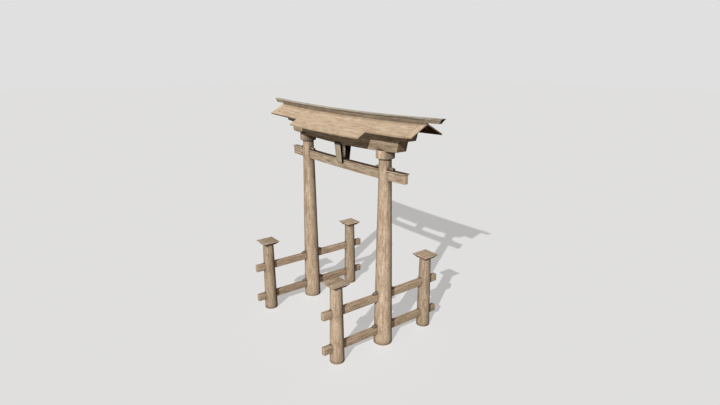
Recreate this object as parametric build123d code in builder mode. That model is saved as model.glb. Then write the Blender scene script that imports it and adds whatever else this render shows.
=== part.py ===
"""A roofed wooden gate with six legs.

Two tapered main pillars stand between four short posts. Through rails tie each pillar to its two posts,
and a tie beam joins the pillars near the top. Two lintels, both swept up to their ends, lie on rings
round the pillar heads and carry a gabled roof with a wider eave in the middle and a heavy ridge.

Millimetres, +Z up, +X along the lintels, -Y the front. The origin is on the ground midway between the pillars.
"""
import math
import os

from build123d import *

os.makedirs("parts", exist_ok=True)

# Setting out
pillar_spacing = 3200.0
half_spacing = pillar_spacing / 2
post_offset = 1343.0

# Fits: the air left round a through timber, under a swept seat, and how far a cut runs past its piece
side_gap = 1.0
seat_gap = 0.3
overrun = 20.0

# Main pillars
pillar_base_radius = 228.0
pillar_head_radius = 145.5
pillar_shoulder = 4510.0
pillar_neck_radius = 128.0
pillar_tenon = 110.0
pillar_tenon_height = 120.0

# Rings under the lower lintel
ring_radius = 209.0
ring_low = pillar_shoulder
ring_chamfer = 14.0
ring_housing = 4.0

# Side posts and their caps
post_base_radius = 173.0
post_head_radius = 142.0
cap_top = 1932.0
cap_side = 453.0
cap_arris = 9.0
cap_soffit_side = 352.0
cap_soffit_drop = 47.0
cap_neck_side = 330.0
cap_neck_drop = 23.0
post_top = cap_top - cap_arris - cap_soffit_drop - cap_neck_drop
post_tenon = 90.0
post_tenon_height = 55.0

# Through rails
rail_width = 102.0
rail_height = 182.0
rail_tail = 203.0
rail_half_length = post_offset + post_base_radius + rail_tail
rail_lows = {"lower": 279.0, "upper": 1133.0}
rail_chamfer = 5.0

# Rail wedges
rail_wedge_width = 66.0
rail_wedge_tip_height = 34.0
rail_wedge_face_height = 62.0
rail_wedge_end_height = 36.0
rail_wedge_projection = 105.0

# Tie beam and its cap board
tie_drop = 490.0
tie_low = pillar_shoulder - tie_drop
tie_height = 202.0
tie_half_width = 53.5
tie_tail = 683.0
tie_half_length = half_spacing + tie_tail
tie_bend = 82000.0
tie_cap_thickness = 26.0
tie_cap_lip = 18.5
tie_cap_half_width = tie_half_width + tie_cap_lip
tie_cap_half_length = tie_half_length + tie_cap_lip
tie_cap_low = tie_low + tie_height
tie_top = tie_cap_low + tie_cap_thickness

# Tie beam wedges
tie_wedge_width = 64.0
tie_wedge_tip_height = 36.0
tie_wedge_face_height = 71.0
tie_wedge_end_height = 56.0
tie_wedge_projection = 148.0
wedge_tip = 4.0

# Lower lintel
lintel_bend = 28000.0
lintel_splay_share = 0.26
lower_lintel_rise = 122.5
lower_lintel_low = pillar_shoulder + lower_lintel_rise
lower_lintel_height = 237.5
lower_lintel_half_width = 140.0
lower_lintel_tail = 512.0
lower_lintel_half_length = half_spacing + lower_lintel_tail

# Upper lintel, bevelled on top to carry the roof
upper_lintel_low = lower_lintel_low + lower_lintel_height
upper_lintel_half_width = 146.0
upper_lintel_tail = 283.0
upper_lintel_half_length = lower_lintel_half_length + upper_lintel_tail

# Roof
roof_bend = 80000.0
roof_rise = 466.0
roof_apex = upper_lintel_low + roof_rise
roof_fall_share = 0.5613
roof_angle = math.atan(roof_fall_share)
roof_thickness = 28.0
roof_plumb_thickness = roof_thickness / math.cos(roof_angle)
roof_soffit_apex = roof_apex - roof_plumb_thickness
roof_verge = 446.0
roof_half_length = upper_lintel_half_length + roof_verge
roof_reach = 425.0
middle_inset = 170.0
middle_half_length = half_spacing - middle_inset
middle_reach = 638.0

# Ridge pole inside the apex
pole_half_width = 32.0
pole_depth = 46.0
pole_low = roof_soffit_apex - pole_depth
pole_inset = 8.0
pole_half_length = roof_half_length - pole_inset

# Ridge: a base that sits astride the apex and runs on past the verges, and a cap on top of it
ridge_tail = 432.0
ridge_top_half_length = roof_half_length + ridge_tail
ridge_base_half_width = 40.0
ridge_base_clearance = 6.0
ridge_base_low = roof_apex + ridge_base_clearance
ridge_base_height = 50.0
ridge_base_top = ridge_base_low + ridge_base_height
ridge_saddle_inset = 8.0
ridge_saddle_half_length = roof_half_length - ridge_saddle_inset
ridge_lip = 26.0
ridge_undercut = 23.0
ridge_top = ridge_base_top + ridge_undercut + ridge_lip
ridge_cap_half_width = 58.0
ridge_cap_splay = 43.0
ridge_cap_low_half_length = ridge_top_half_length - ridge_cap_splay
ridge_base_splay = 45.0
ridge_base_low_half_length = ridge_cap_low_half_length - ridge_base_splay

# Strut and tablets
strut_width = 96.0
strut_depth = 82.0
strut_tenon = 44.0
strut_tenon_height = 34.0
tablet_foot_width = 226.0
tablet_head_width = 240.0
tablet_hang = 49.0
tablet_foot = tie_cap_low - tablet_hang
tablet_lift = 25.0
tablet_head = lower_lintel_low + tablet_lift
tablet_thickness = 46.0
tablet_lean_share = 0.122
tablet_lean = math.atan(tablet_lean_share)

SIDES = {"left": -1, "right": 1}
ENDS = {"front": -1, "rear": 1}


def rise(x, bend):
    """Height gained at x from the middle of a timber swept up on a circle of radius bend."""
    return bend - math.sqrt(bend**2 - x**2)


def pillar_radius(z):
    """Radius of a main pillar at height z, below its shoulder."""
    return pillar_base_radius + (pillar_head_radius - pillar_base_radius) * z / pillar_shoulder


def side_view(low, high, low_half, high_half, low_bend, high_bend):
    """Side view of a timber swept up to both ends, drawn on the plane through the middle of the gate."""
    low_end = low + rise(low_half, low_bend)
    high_end = high + rise(high_half, high_bend)
    with BuildSketch(Plane.XZ) as view:
        with BuildLine():
            ThreePointArc((-low_half, low_end), (0, low), (low_half, low_end))
            Line((low_half, low_end), (high_half, high_end))
            ThreePointArc((high_half, high_end), (0, high), (-high_half, high_end))
            Line((-high_half, high_end), (-low_half, low_end))
        make_face()
    return view.sketch


def outline(plane, points):
    """Closed straight-sided outline on a plane."""
    with BuildSketch(plane) as view:
        with BuildLine():
            Polyline(*points, close=True)
        make_face()
    return view.sketch


def down_slope(end):
    """Direction of fall of one side of the roof."""
    return (0, end * math.cos(roof_angle), -math.sin(roof_angle))


def above_slope(apex, half_length, reach):
    """Side view of everything above a roof surface, and how far to run it down the slope."""
    view = side_view(apex, ridge_top, half_length, half_length, roof_bend, roof_bend)
    return view, reach / math.cos(roof_angle)


def finish(piece, name):
    """Labels a finished piece and writes it."""
    piece.part.label = name
    export_step(piece.part, f"parts/{name}.step")


# Where things meet
ring_top = lower_lintel_low + rise(half_spacing + ring_radius, lintel_bend) + ring_housing
tie_at_pillar = tie_top + rise(half_spacing, tie_bend)
tie_face = pillar_radius(tie_at_pillar)


def rail_wedge_points(rail_top, face, end):
    """Outline of one rail wedge, along the rail and up."""
    tip = end * wedge_tip
    head = end * (face + rail_wedge_projection)
    return [
        (tip, rail_top),
        (head, rail_top),
        (head, rail_top + rail_wedge_end_height),
        (end * face, rail_top + rail_wedge_face_height),
        (tip, rail_top + rail_wedge_tip_height),
    ]


def slot_points(centre, low, top, reach, tip_height, reach_height):
    """Outline of a wedge slot through a pillar: it rises from the timber's top to both faces of the pillar."""
    return [
        (centre - reach, low),
        (centre + reach, low),
        (centre + reach, top + reach_height + seat_gap),
        (centre, top + tip_height + seat_gap),
        (centre - reach, top + reach_height + seat_gap),
    ]


def tie_wedge_points(side, out):
    """Outline of one tie beam wedge, sitting on the swept cap board."""
    x_tip = side * (half_spacing + out * wedge_tip)
    x_face = side * (half_spacing + out * tie_face)
    x_head = side * (half_spacing + out * (tie_face + tie_wedge_projection))
    seat = tie_top + seat_gap
    return [
        (x_tip, seat + rise(x_tip, tie_bend)),
        (x_head, seat + rise(x_head, tie_bend)),
        (x_head, seat + rise(x_head, tie_bend) + tie_wedge_end_height),
        (x_face, tie_at_pillar + tie_wedge_face_height),
        (x_tip, tie_at_pillar + tie_wedge_tip_height),
    ]


def tablet_back(z):
    """Distance of a tablet's back from the middle of the gate at height z."""
    return tie_cap_half_width + seat_gap + tablet_lean_share * (z - tie_cap_low)


for side_name, side in SIDES.items():
    x = side * half_spacing
    pillar_plane = Plane(origin=(x, 0, 0), x_dir=(1, 0, 0), z_dir=(0, -1, 0))
    rail_plane = Plane(origin=(x, 0, 0), x_dir=(0, 1, 0), z_dir=(1, 0, 0))

    # Main pillar: a tapered shaft, a neck inside the ring and a square tenon for the lintel
    with BuildPart() as pillar:
        with BuildSketch(pillar_plane):
            with BuildLine():
                Polyline(
                    (0, 0),
                    (pillar_base_radius, 0),
                    (pillar_head_radius, pillar_shoulder),
                    (pillar_neck_radius, pillar_shoulder),
                    (pillar_neck_radius, ring_top),
                    (0, ring_top),
                    close=True,
                )
            make_face()
        revolve(axis=Axis((x, 0, 0), (0, 0, 1)))
        with BuildSketch(Plane.XY.offset(ring_top)):
            with Locations((x, 0)):
                Rectangle(pillar_tenon, pillar_tenon)
        extrude(amount=pillar_tenon_height)
        # Through mortise for the tie beam and its cap board, with the wedge slot above
        extrude(
            side_view(tie_low - seat_gap, tie_cap_low, tie_half_length, tie_half_length, tie_bend, tie_bend),
            amount=tie_half_width + side_gap,
            both=True,
            mode=Mode.SUBTRACT,
        )
        extrude(
            side_view(tie_cap_low - seat_gap, tie_top, tie_half_length, tie_half_length, tie_bend, tie_bend),
            amount=tie_cap_half_width + side_gap,
            both=True,
            mode=Mode.SUBTRACT,
        )
        tie_slope = (tie_wedge_face_height - tie_wedge_tip_height) / (tie_face - wedge_tip)
        tie_slot_height = tie_wedge_tip_height + tie_slope * (tie_face + overrun - wedge_tip)
        tie_slot_foot = tie_at_pillar - seat_gap - tie_cap_thickness / 2
        extrude(
            outline(
                Plane.XZ,
                slot_points(
                    x,
                    tie_slot_foot,
                    tie_at_pillar,
                    tie_face + overrun,
                    tie_wedge_tip_height,
                    tie_slot_height,
                ),
            ),
            amount=tie_wedge_width / 2 + side_gap,
            both=True,
            mode=Mode.SUBTRACT,
        )
        # Through mortises for the two rails, with their wedge slots
        for rail_low in rail_lows.values():
            rail_top = rail_low + rail_height
            rail_face = pillar_radius(rail_top)
            with BuildSketch(Plane.XZ):
                with Locations((x, rail_low + rail_height / 2)):
                    Rectangle(rail_width + 2 * side_gap, rail_height)
            extrude(amount=rail_half_length, both=True, mode=Mode.SUBTRACT)
            rail_slope = (rail_wedge_face_height - rail_wedge_tip_height) / (rail_face - wedge_tip)
            rail_slot_height = rail_wedge_tip_height + rail_slope * (rail_face + overrun - wedge_tip)
            extrude(
                outline(
                    rail_plane,
                    slot_points(
                        0,
                        rail_top,
                        rail_top,
                        rail_face + overrun,
                        rail_wedge_tip_height,
                        rail_slot_height,
                    ),
                ),
                amount=rail_wedge_width / 2 + side_gap,
                both=True,
                mode=Mode.SUBTRACT,
            )
    finish(pillar, f"{side_name}_pillar")

    # Ring on the pillar's shoulder, housed in the underside of the lintel
    with BuildPart() as ring:
        with BuildSketch(Plane.XY.offset(ring_low)):
            with Locations((x, 0)):
                Circle(ring_radius)
                Circle(pillar_neck_radius + seat_gap, mode=Mode.SUBTRACT)
        extrude(amount=ring_top - ring_low)
        rim = ring.edges().filter_by(GeomType.CIRCLE).group_by(Axis.Z)[0].sort_by(SortBy.RADIUS)[-1]
        chamfer(rim, length=ring_chamfer)
    finish(ring, f"{side_name}_pillar_ring")

    for rail_name, rail_low in rail_lows.items():
        rail_top = rail_low + rail_height
        rail_face = pillar_radius(rail_top)

        # Through rail
        with BuildPart() as rail:
            with BuildSketch(Plane.XZ):
                with Locations((x, rail_low + rail_height / 2)):
                    Rectangle(rail_width, rail_height)
            extrude(amount=rail_half_length, both=True)
            rail_ends = rail.faces().sort_by(Axis.Y)
            chamfer(rail_ends[0].edges() + rail_ends[-1].edges(), length=rail_chamfer)
        finish(rail, f"{side_name}_{rail_name}_rail")

        # Wedges driven in over the rail from the front and the back of the pillar
        for end_name, end in ENDS.items():
            with BuildPart() as rail_wedge:
                extrude(
                    outline(rail_plane, rail_wedge_points(rail_top, rail_face, end)),
                    amount=rail_wedge_width / 2,
                    both=True,
                )
            finish(rail_wedge, f"{side_name}_{rail_name}_{end_name}_wedge")

    for end_name, end in ENDS.items():
        y = end * post_offset
        post_plane = Plane(origin=(x, y, 0), x_dir=(1, 0, 0), z_dir=(0, -1, 0))

        # Side post with a square tenon for its cap
        with BuildPart() as post:
            with BuildSketch(post_plane):
                with BuildLine():
                    Polyline(
                        (0, 0),
                        (post_base_radius, 0),
                        (post_head_radius, post_top),
                        (0, post_top),
                        close=True,
                    )
                make_face()
            revolve(axis=Axis((x, y, 0), (0, 0, 1)))
            with BuildSketch(Plane.XY.offset(post_top)):
                with Locations((x, y)):
                    Rectangle(post_tenon, post_tenon)
            extrude(amount=post_tenon_height)
            for rail_low in rail_lows.values():
                with BuildSketch(Plane.XZ):
                    with Locations((x, rail_low + (rail_height + side_gap) / 2)):
                        Rectangle(rail_width + 2 * side_gap, rail_height + side_gap)
                extrude(amount=rail_half_length, both=True, mode=Mode.SUBTRACT)
        finish(post, f"{side_name}_{end_name}_post")

        # Square cap: a neck, a soffit sloping out from it and a thin arris
        with BuildPart() as post_cap:
            with BuildSketch(Plane.XY.offset(post_top)):
                with Locations((x, y)):
                    Rectangle(cap_neck_side, cap_neck_side)
            extrude(amount=cap_neck_drop)
            with BuildSketch(Plane.XY.offset(post_top + cap_neck_drop)):
                with Locations((x, y)):
                    Rectangle(cap_soffit_side, cap_soffit_side)
            with BuildSketch(Plane.XY.offset(cap_top - cap_arris)):
                with Locations((x, y)):
                    Rectangle(cap_side, cap_side)
            loft()
            with BuildSketch(Plane.XY.offset(cap_top - cap_arris)):
                with Locations((x, y)):
                    Rectangle(cap_side, cap_side)
            extrude(amount=cap_arris)
            with BuildSketch(Plane.XY.offset(post_top)):
                with Locations((x, y)):
                    Rectangle(post_tenon + 2 * side_gap, post_tenon + 2 * side_gap)
            extrude(amount=post_tenon_height + side_gap, mode=Mode.SUBTRACT)
        finish(post_cap, f"{side_name}_{end_name}_post_cap")

    # Tie beam wedges on the inner and the outer side of the pillar
    for out_name, out in {"inner": -1, "outer": 1}.items():
        with BuildPart() as tie_wedge:
            extrude(outline(Plane.XZ, tie_wedge_points(side, out)), amount=tie_wedge_width / 2, both=True)
        finish(tie_wedge, f"{side_name}_{out_name}_tie_wedge")

# Tie beam, with a mortise for the foot of the strut
strut_foot = tie_top + rise(strut_width / 2, tie_bend)
with BuildPart() as tie_beam:
    extrude(
        side_view(tie_low, tie_cap_low, tie_half_length, tie_half_length, tie_bend, tie_bend),
        amount=tie_half_width,
        both=True,
    )
    with BuildSketch(Plane.XY.offset(strut_foot - strut_tenon_height - side_gap)):
        Rectangle(strut_tenon + 2 * side_gap, strut_tenon + 2 * side_gap)
    extrude(amount=strut_tenon_height + overrun, mode=Mode.SUBTRACT)
finish(tie_beam, "tie_beam")

# Cap board along the top of the tie beam, lipped all round
with BuildPart() as tie_cap:
    extrude(
        side_view(
            tie_cap_low + seat_gap,
            tie_top,
            tie_cap_half_length,
            tie_cap_half_length,
            tie_bend,
            tie_bend,
        ),
        amount=tie_cap_half_width,
        both=True,
    )
    with BuildSketch(Plane.XY.offset(strut_foot - strut_tenon_height - side_gap)):
        Rectangle(strut_tenon + 2 * side_gap, strut_tenon + 2 * side_gap)
    extrude(amount=strut_tenon_height + overrun, mode=Mode.SUBTRACT)
finish(tie_cap, "tie_beam_cap")

# Lower lintel: swept, splayed at its ends, housed for the rings and mortised for the pillars and the strut
with BuildPart() as lower_lintel:
    extrude(
        side_view(
            lower_lintel_low,
            upper_lintel_low,
            lower_lintel_half_length,
            lower_lintel_half_length + lintel_splay_share * lower_lintel_height,
            lintel_bend,
            lintel_bend,
        ),
        amount=lower_lintel_half_width,
        both=True,
    )
    with BuildSketch(Plane.XY.offset(ring_low)):
        with Locations((-half_spacing, 0), (half_spacing, 0)):
            Circle(ring_radius + seat_gap)
    extrude(amount=ring_top - ring_low, mode=Mode.SUBTRACT)
    with BuildSketch(Plane.XY.offset(ring_low)):
        with Locations((-half_spacing, 0), (half_spacing, 0)):
            Rectangle(pillar_tenon + 2 * side_gap, pillar_tenon + 2 * side_gap)
    extrude(amount=ring_top - ring_low + pillar_tenon_height + side_gap, mode=Mode.SUBTRACT)
    with BuildSketch(Plane.XY.offset(lower_lintel_low - overrun)):
        Rectangle(strut_tenon + 2 * side_gap, strut_tenon + 2 * side_gap)
    extrude(amount=overrun + strut_tenon_height + side_gap, mode=Mode.SUBTRACT)
finish(lower_lintel, "lower_lintel")

# Upper lintel: its top is flat under the ridge pole and bevelled to the roof on both sides
upper_lintel_height = pole_low - upper_lintel_low
with BuildPart() as upper_lintel:
    extrude(
        side_view(
            upper_lintel_low + seat_gap,
            pole_low,
            upper_lintel_half_length,
            upper_lintel_half_length + lintel_splay_share * upper_lintel_height,
            lintel_bend,
            roof_bend,
        ),
        amount=upper_lintel_half_width,
        both=True,
    )
    for end in ENDS.values():
        above, run = above_slope(roof_soffit_apex - seat_gap, roof_half_length, middle_reach)
        extrude(above, amount=run, dir=down_slope(end), mode=Mode.SUBTRACT)
finish(upper_lintel, "upper_lintel")

# Strut between the tie beam and the lower lintel, tenoned at both ends
with BuildPart() as strut:
    with BuildSketch(Plane.XY.offset(strut_foot)):
        Rectangle(strut_width, strut_depth)
    extrude(amount=lower_lintel_low - strut_foot)
    with BuildSketch(Plane.XY.offset(strut_foot - strut_tenon_height)):
        Rectangle(strut_tenon, strut_tenon)
    extrude(amount=lower_lintel_low - strut_foot + 2 * strut_tenon_height)
finish(strut, "strut")

# Tablets: each leans out from the lip of the tie beam's cap board, and its head is rebated over the arris
# of the lower lintel
tablet_front_head = tablet_back(tablet_head) + tablet_thickness / math.cos(tablet_lean)
tablet_front_foot = tablet_back(tablet_foot) + tablet_thickness / math.cos(tablet_lean)
tablet_seat = lower_lintel_low - seat_gap
tablet_rebate = lower_lintel_half_width + seat_gap
tablet_crown = tablet_head + tablet_lean_share * (tablet_front_head - tablet_rebate)
for end_name, end in ENDS.items():
    with BuildPart() as tablet:
        extrude(
            outline(
                Plane.YZ,
                [
                    (end * tablet_front_foot, tablet_foot),
                    (end * tablet_front_head, tablet_head),
                    (end * tablet_rebate, tablet_crown),
                    (end * tablet_rebate, tablet_seat),
                    (end * tablet_back(tablet_seat), tablet_seat),
                    (
                        end * (tablet_front_foot - tablet_thickness * math.cos(tablet_lean)),
                        tablet_foot + tablet_thickness * math.sin(tablet_lean),
                    ),
                ],
            ),
            amount=tablet_head_width / 2,
            both=True,
        )
        extrude(
            outline(
                Plane.XZ,
                [
                    (-tablet_foot_width / 2, tablet_foot),
                    (tablet_foot_width / 2, tablet_foot),
                    (tablet_head_width / 2, tablet_crown),
                    (-tablet_head_width / 2, tablet_crown),
                ],
            ),
            amount=tablet_front_head + overrun,
            both=True,
            mode=Mode.INTERSECT,
        )
    finish(tablet, f"{end_name}_tablet")

# Roof slopes: a long narrow slope with a wider stretch in the middle, plumb cut at apex and eaves
for end_name, end in ENDS.items():
    with BuildPart() as slope:
        for half_length, reach in ((roof_half_length, roof_reach), (middle_half_length, middle_reach)):
            extrude(
                side_view(roof_soffit_apex, roof_apex, half_length, half_length, roof_bend, roof_bend),
                amount=reach / math.cos(roof_angle),
                dir=down_slope(end),
            )
    finish(slope, f"{end_name}_roof_slope")

# Ridge pole: lies on the upper lintel and fills the apex under the two slopes
with BuildPart() as pole:
    extrude(
        side_view(pole_low + seat_gap, roof_apex, pole_half_length, pole_half_length, roof_bend, roof_bend),
        amount=pole_half_width,
        both=True,
    )
    for end in ENDS.values():
        above, run = above_slope(roof_soffit_apex - seat_gap, roof_half_length, middle_reach)
        extrude(above, amount=run, dir=down_slope(end), mode=Mode.SUBTRACT)
finish(pole, "ridge_pole")

# Ridge base: a saddle astride the apex and a bar that runs on past both verges to splayed ends
ridge_base_foot = roof_apex - roof_fall_share * ridge_base_half_width
with BuildPart() as ridge_base:
    extrude(
        side_view(
            ridge_base_foot,
            ridge_base_top,
            ridge_saddle_half_length,
            ridge_saddle_half_length,
            roof_bend,
            roof_bend,
        ),
        amount=ridge_base_half_width,
        both=True,
    )
    extrude(
        side_view(
            ridge_base_low,
            ridge_base_top,
            ridge_base_low_half_length,
            ridge_cap_low_half_length,
            roof_bend,
            roof_bend,
        ),
        amount=ridge_base_half_width,
        both=True,
    )
    for end in ENDS.values():
        extrude(
            side_view(
                roof_soffit_apex,
                roof_apex + seat_gap,
                roof_half_length,
                roof_half_length,
                roof_bend,
                roof_bend,
            ),
            amount=roof_reach / math.cos(roof_angle),
            dir=down_slope(end),
            mode=Mode.SUBTRACT,
        )
finish(ridge_base, "ridge_base")

# Ridge cap: wide on top, undercut along both sides and splayed at its ends
with BuildPart() as ridge_cap:
    extrude(
        side_view(
            ridge_base_top + seat_gap,
            ridge_top,
            ridge_cap_low_half_length,
            ridge_top_half_length,
            roof_bend,
            roof_bend,
        ),
        amount=ridge_cap_half_width,
        both=True,
    )
    undercut_angle = math.atan2(ridge_undercut, ridge_cap_half_width - ridge_base_half_width)
    for end in ENDS.values():
        with BuildSketch(Plane.XZ.offset(-end * ridge_cap_half_width)):
            low_half = ridge_top_half_length + overrun
            high_end = ridge_top - ridge_lip + rise(low_half, roof_bend)
            with BuildLine():
                Polyline((low_half, high_end), (low_half, roof_apex), (-low_half, roof_apex), (-low_half, high_end))
                ThreePointArc((-low_half, high_end), (0, ridge_top - ridge_lip), (low_half, high_end))
            make_face()
        extrude(
            amount=(ridge_top - roof_apex) / math.sin(undercut_angle),
            dir=(0, -end * math.cos(undercut_angle), -math.sin(undercut_angle)),
            mode=Mode.SUBTRACT,
        )
finish(ridge_cap, "ridge_cap")
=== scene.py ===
"""Dresses the roofed wooden gate: bare weathered cypress with worn arrises, drying checks and boarded slopes.

Metres, +Z up, +X along the lintels, -Y the front. The origin is on the ground midway between the pillars.
"""
import logging
import math
import random
from dataclasses import dataclass, field
from enum import Enum
from functools import partial
from typing import Any, Callable, Protocol, Sequence

import bmesh
import bpy
import numpy as np
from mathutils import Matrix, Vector, noise


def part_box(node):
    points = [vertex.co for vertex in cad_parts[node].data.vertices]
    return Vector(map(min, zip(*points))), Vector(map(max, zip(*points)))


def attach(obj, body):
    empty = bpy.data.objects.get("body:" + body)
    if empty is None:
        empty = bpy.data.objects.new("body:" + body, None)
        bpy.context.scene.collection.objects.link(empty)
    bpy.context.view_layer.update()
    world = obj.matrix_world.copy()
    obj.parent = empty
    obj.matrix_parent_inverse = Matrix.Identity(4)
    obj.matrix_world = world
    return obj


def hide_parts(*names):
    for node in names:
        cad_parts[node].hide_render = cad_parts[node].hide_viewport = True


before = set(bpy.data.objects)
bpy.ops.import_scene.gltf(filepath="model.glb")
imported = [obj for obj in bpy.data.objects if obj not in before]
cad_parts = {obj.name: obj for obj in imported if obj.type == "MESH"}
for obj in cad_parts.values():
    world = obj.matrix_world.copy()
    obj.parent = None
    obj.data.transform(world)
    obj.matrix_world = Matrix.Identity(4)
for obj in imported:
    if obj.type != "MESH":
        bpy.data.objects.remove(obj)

LOGGER = logging.getLogger("gate")
MM = 0.001
ROOT = "root"
GRAIN = "grain"
END_GRAIN = "end_grain"
WORN = "worn"
BLACK = "blackened"
TONE = "tone"

# The nodes and settings that the trees use most
MATH = "ShaderNodeMath"
VECTOR = "ShaderNodeVectorMath"
RANGE = "ShaderNodeMapRange"
SMOOTH = {"interpolation_type": "SMOOTHSTEP"}
RGBA = {"data_type": "RGBA"}
ADD = {"operation": "ADD"}
SUBTRACT = {"operation": "SUBTRACT"}
MULTIPLY = {"operation": "MULTIPLY"}
MULTIPLY_ADD = {"operation": "MULTIPLY_ADD"}
DIVIDE = {"operation": "DIVIDE"}
ABSOLUTE = {"operation": "ABSOLUTE"}
SIGN = {"operation": "SIGN"}
MAXIMUM = {"operation": "MAXIMUM"}
# Just past the inner columns of a block four points wide, which lie a third of the way out
INNER_COLUMN = 0.34
# Waves in each metre of a timber that was planed by hand
PLANE_WAVES = 1.7

# How far a face has to point one way to count as an end, a side, an underside, a top or an undercut
ENDWAYS = 0.6
SQUARE_ON = 0.8
DOWNWARD = -0.5
UPWARD = 0.3
UNDERCUT = -0.15


class Way(Enum):
    """One of two opposite ways."""

    @property
    def label(self) -> str:
        """The word used in the names of pieces."""
        return self.name.lower()


class Side(Way):
    """Left or right of the gate, seen from the front."""

    LEFT = -1
    RIGHT = 1


class End(Way):
    """Front or rear of the gate."""

    FRONT = -1
    REAR = 1


class Axis(Enum):
    """The way that a timber's grain runs."""

    X = 0
    Y = 1
    Z = 2


def linear(hex_colour: str) -> tuple[float, float, float, float]:
    """Turns an sRGB hex colour into linear RGBA."""
    channels = [int(hex_colour[i:i + 2], 16) / 255 for i in (1, 3, 5)]
    return (*(c / 12.92 if c <= 0.04045 else ((c + 0.055) / 1.055) ** 2.4 for c in channels), 1.0)


def rise(x: Any, bend: float) -> Any:
    """Height gained at x from the middle of a timber swept up on a circle of radius bend."""
    return bend - (bend**2 - x**2) ** 0.5


def ramp(value: float, start: float, span: float) -> float:
    """Grows from 0 at start to 1 a span further on."""
    return min(max((value - start) / span, 0), 1)


def towards(azimuth: float, elevation: float) -> Vector:
    """Direction to a thing seen at an azimuth and elevation from the gate, in degrees."""
    a, e = math.radians(azimuth), math.radians(elevation)
    return Vector((math.sin(a) * math.cos(e), -math.cos(a) * math.cos(e), math.sin(e)))


def add_node(
    tree: bpy.types.NodeTree,
    kind: str,
    settings: dict[str, Any] | None = None,
    links: dict[str | int, Any] | None = None,
) -> bpy.types.NodeOutputs:
    """Adds a node with its settings and links.

    Args:
        tree: The node tree that takes the node.
        kind: The node's type name.
        settings: Values for the node's own properties.
        links: For each input, by name or number, a socket to link or a value to set.

    Returns:
        The new node's outputs.
    """
    node = tree.nodes.new(kind)
    for name, value in (settings or {}).items():
        setattr(node, name, value)
    for key, value in (links or {}).items():
        if isinstance(value, bpy.types.NodeSocket):
            tree.links.new(value, node.inputs[key])
        else:
            node.inputs[key].default_value = value
    return node.outputs


# Adds a node to one tree, as add_node does
Adder = Callable[..., bpy.types.NodeOutputs]
Socket = bpy.types.NodeSocket


def emptied(owner: bpy.types.Material | bpy.types.World) -> Adder:
    """Empties the node tree of a material or the sky, and returns what adds nodes to it."""
    owner.use_nodes = True
    owner.node_tree.nodes.clear()
    return partial(add_node, owner.node_tree)


def drawn_out(length_mm: float, width_mm: float) -> tuple[float, float, float]:
    """The scale of a pattern that is so long along the grain and so wide across it."""
    return 1 / (length_mm * MM), 1 / (width_mm * MM), 1 / (width_mm * MM)


def mark_faces(mesh: bpy.types.Mesh, name: str, values: Sequence[float]) -> None:
    """Writes one value on each face of a mesh, for the wood to read by name."""
    mesh.attributes.new(name, "FLOAT", "FACE").data.foreach_set("value", values)


@dataclass(frozen=True)
class Layer:
    """A mark of growth or weather, drawn out along the grain and laid over the wood in one colour."""

    colour: str  # Its sRGB hex colour
    length_mm: float  # Its usual size along the grain
    width_mm: float  # Its usual size across the grain
    start: float  # Level of the noise at which it begins to show
    stop: float  # Level of the noise at which it is full
    share: float  # How much of the wood it hides where it is full
    detail: float = 2.0  # Layers of finer noise in it

    def lay(self, add: Adder, grain: Socket, under: Any) -> tuple[Socket, Socket]:
        """Adds the layer's nodes.

        Args:
            add: Adds a node to the material's tree.
            grain: The place in the log.
            under: The colour so far.

        Returns:
            How much the layer shows, and the colour with the layer on it.
        """
        drawn = add(VECTOR, MULTIPLY, {0: grain, 1: drawn_out(self.length_mm, self.width_mm)})[0]
        level = add("ShaderNodeTexNoise", None, {"Vector": drawn, "Scale": 1.0, "Detail": self.detail})[0]
        limits = {"Value": level, "From Min": self.start, "From Max": self.stop, "To Max": self.share}
        mask = add(RANGE, SMOOTH, limits)[0]
        laid = {0: mask, 6: under, 7: linear(self.colour)}
        return mask, add("ShaderNodeMix", RGBA, laid)[2]


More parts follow.
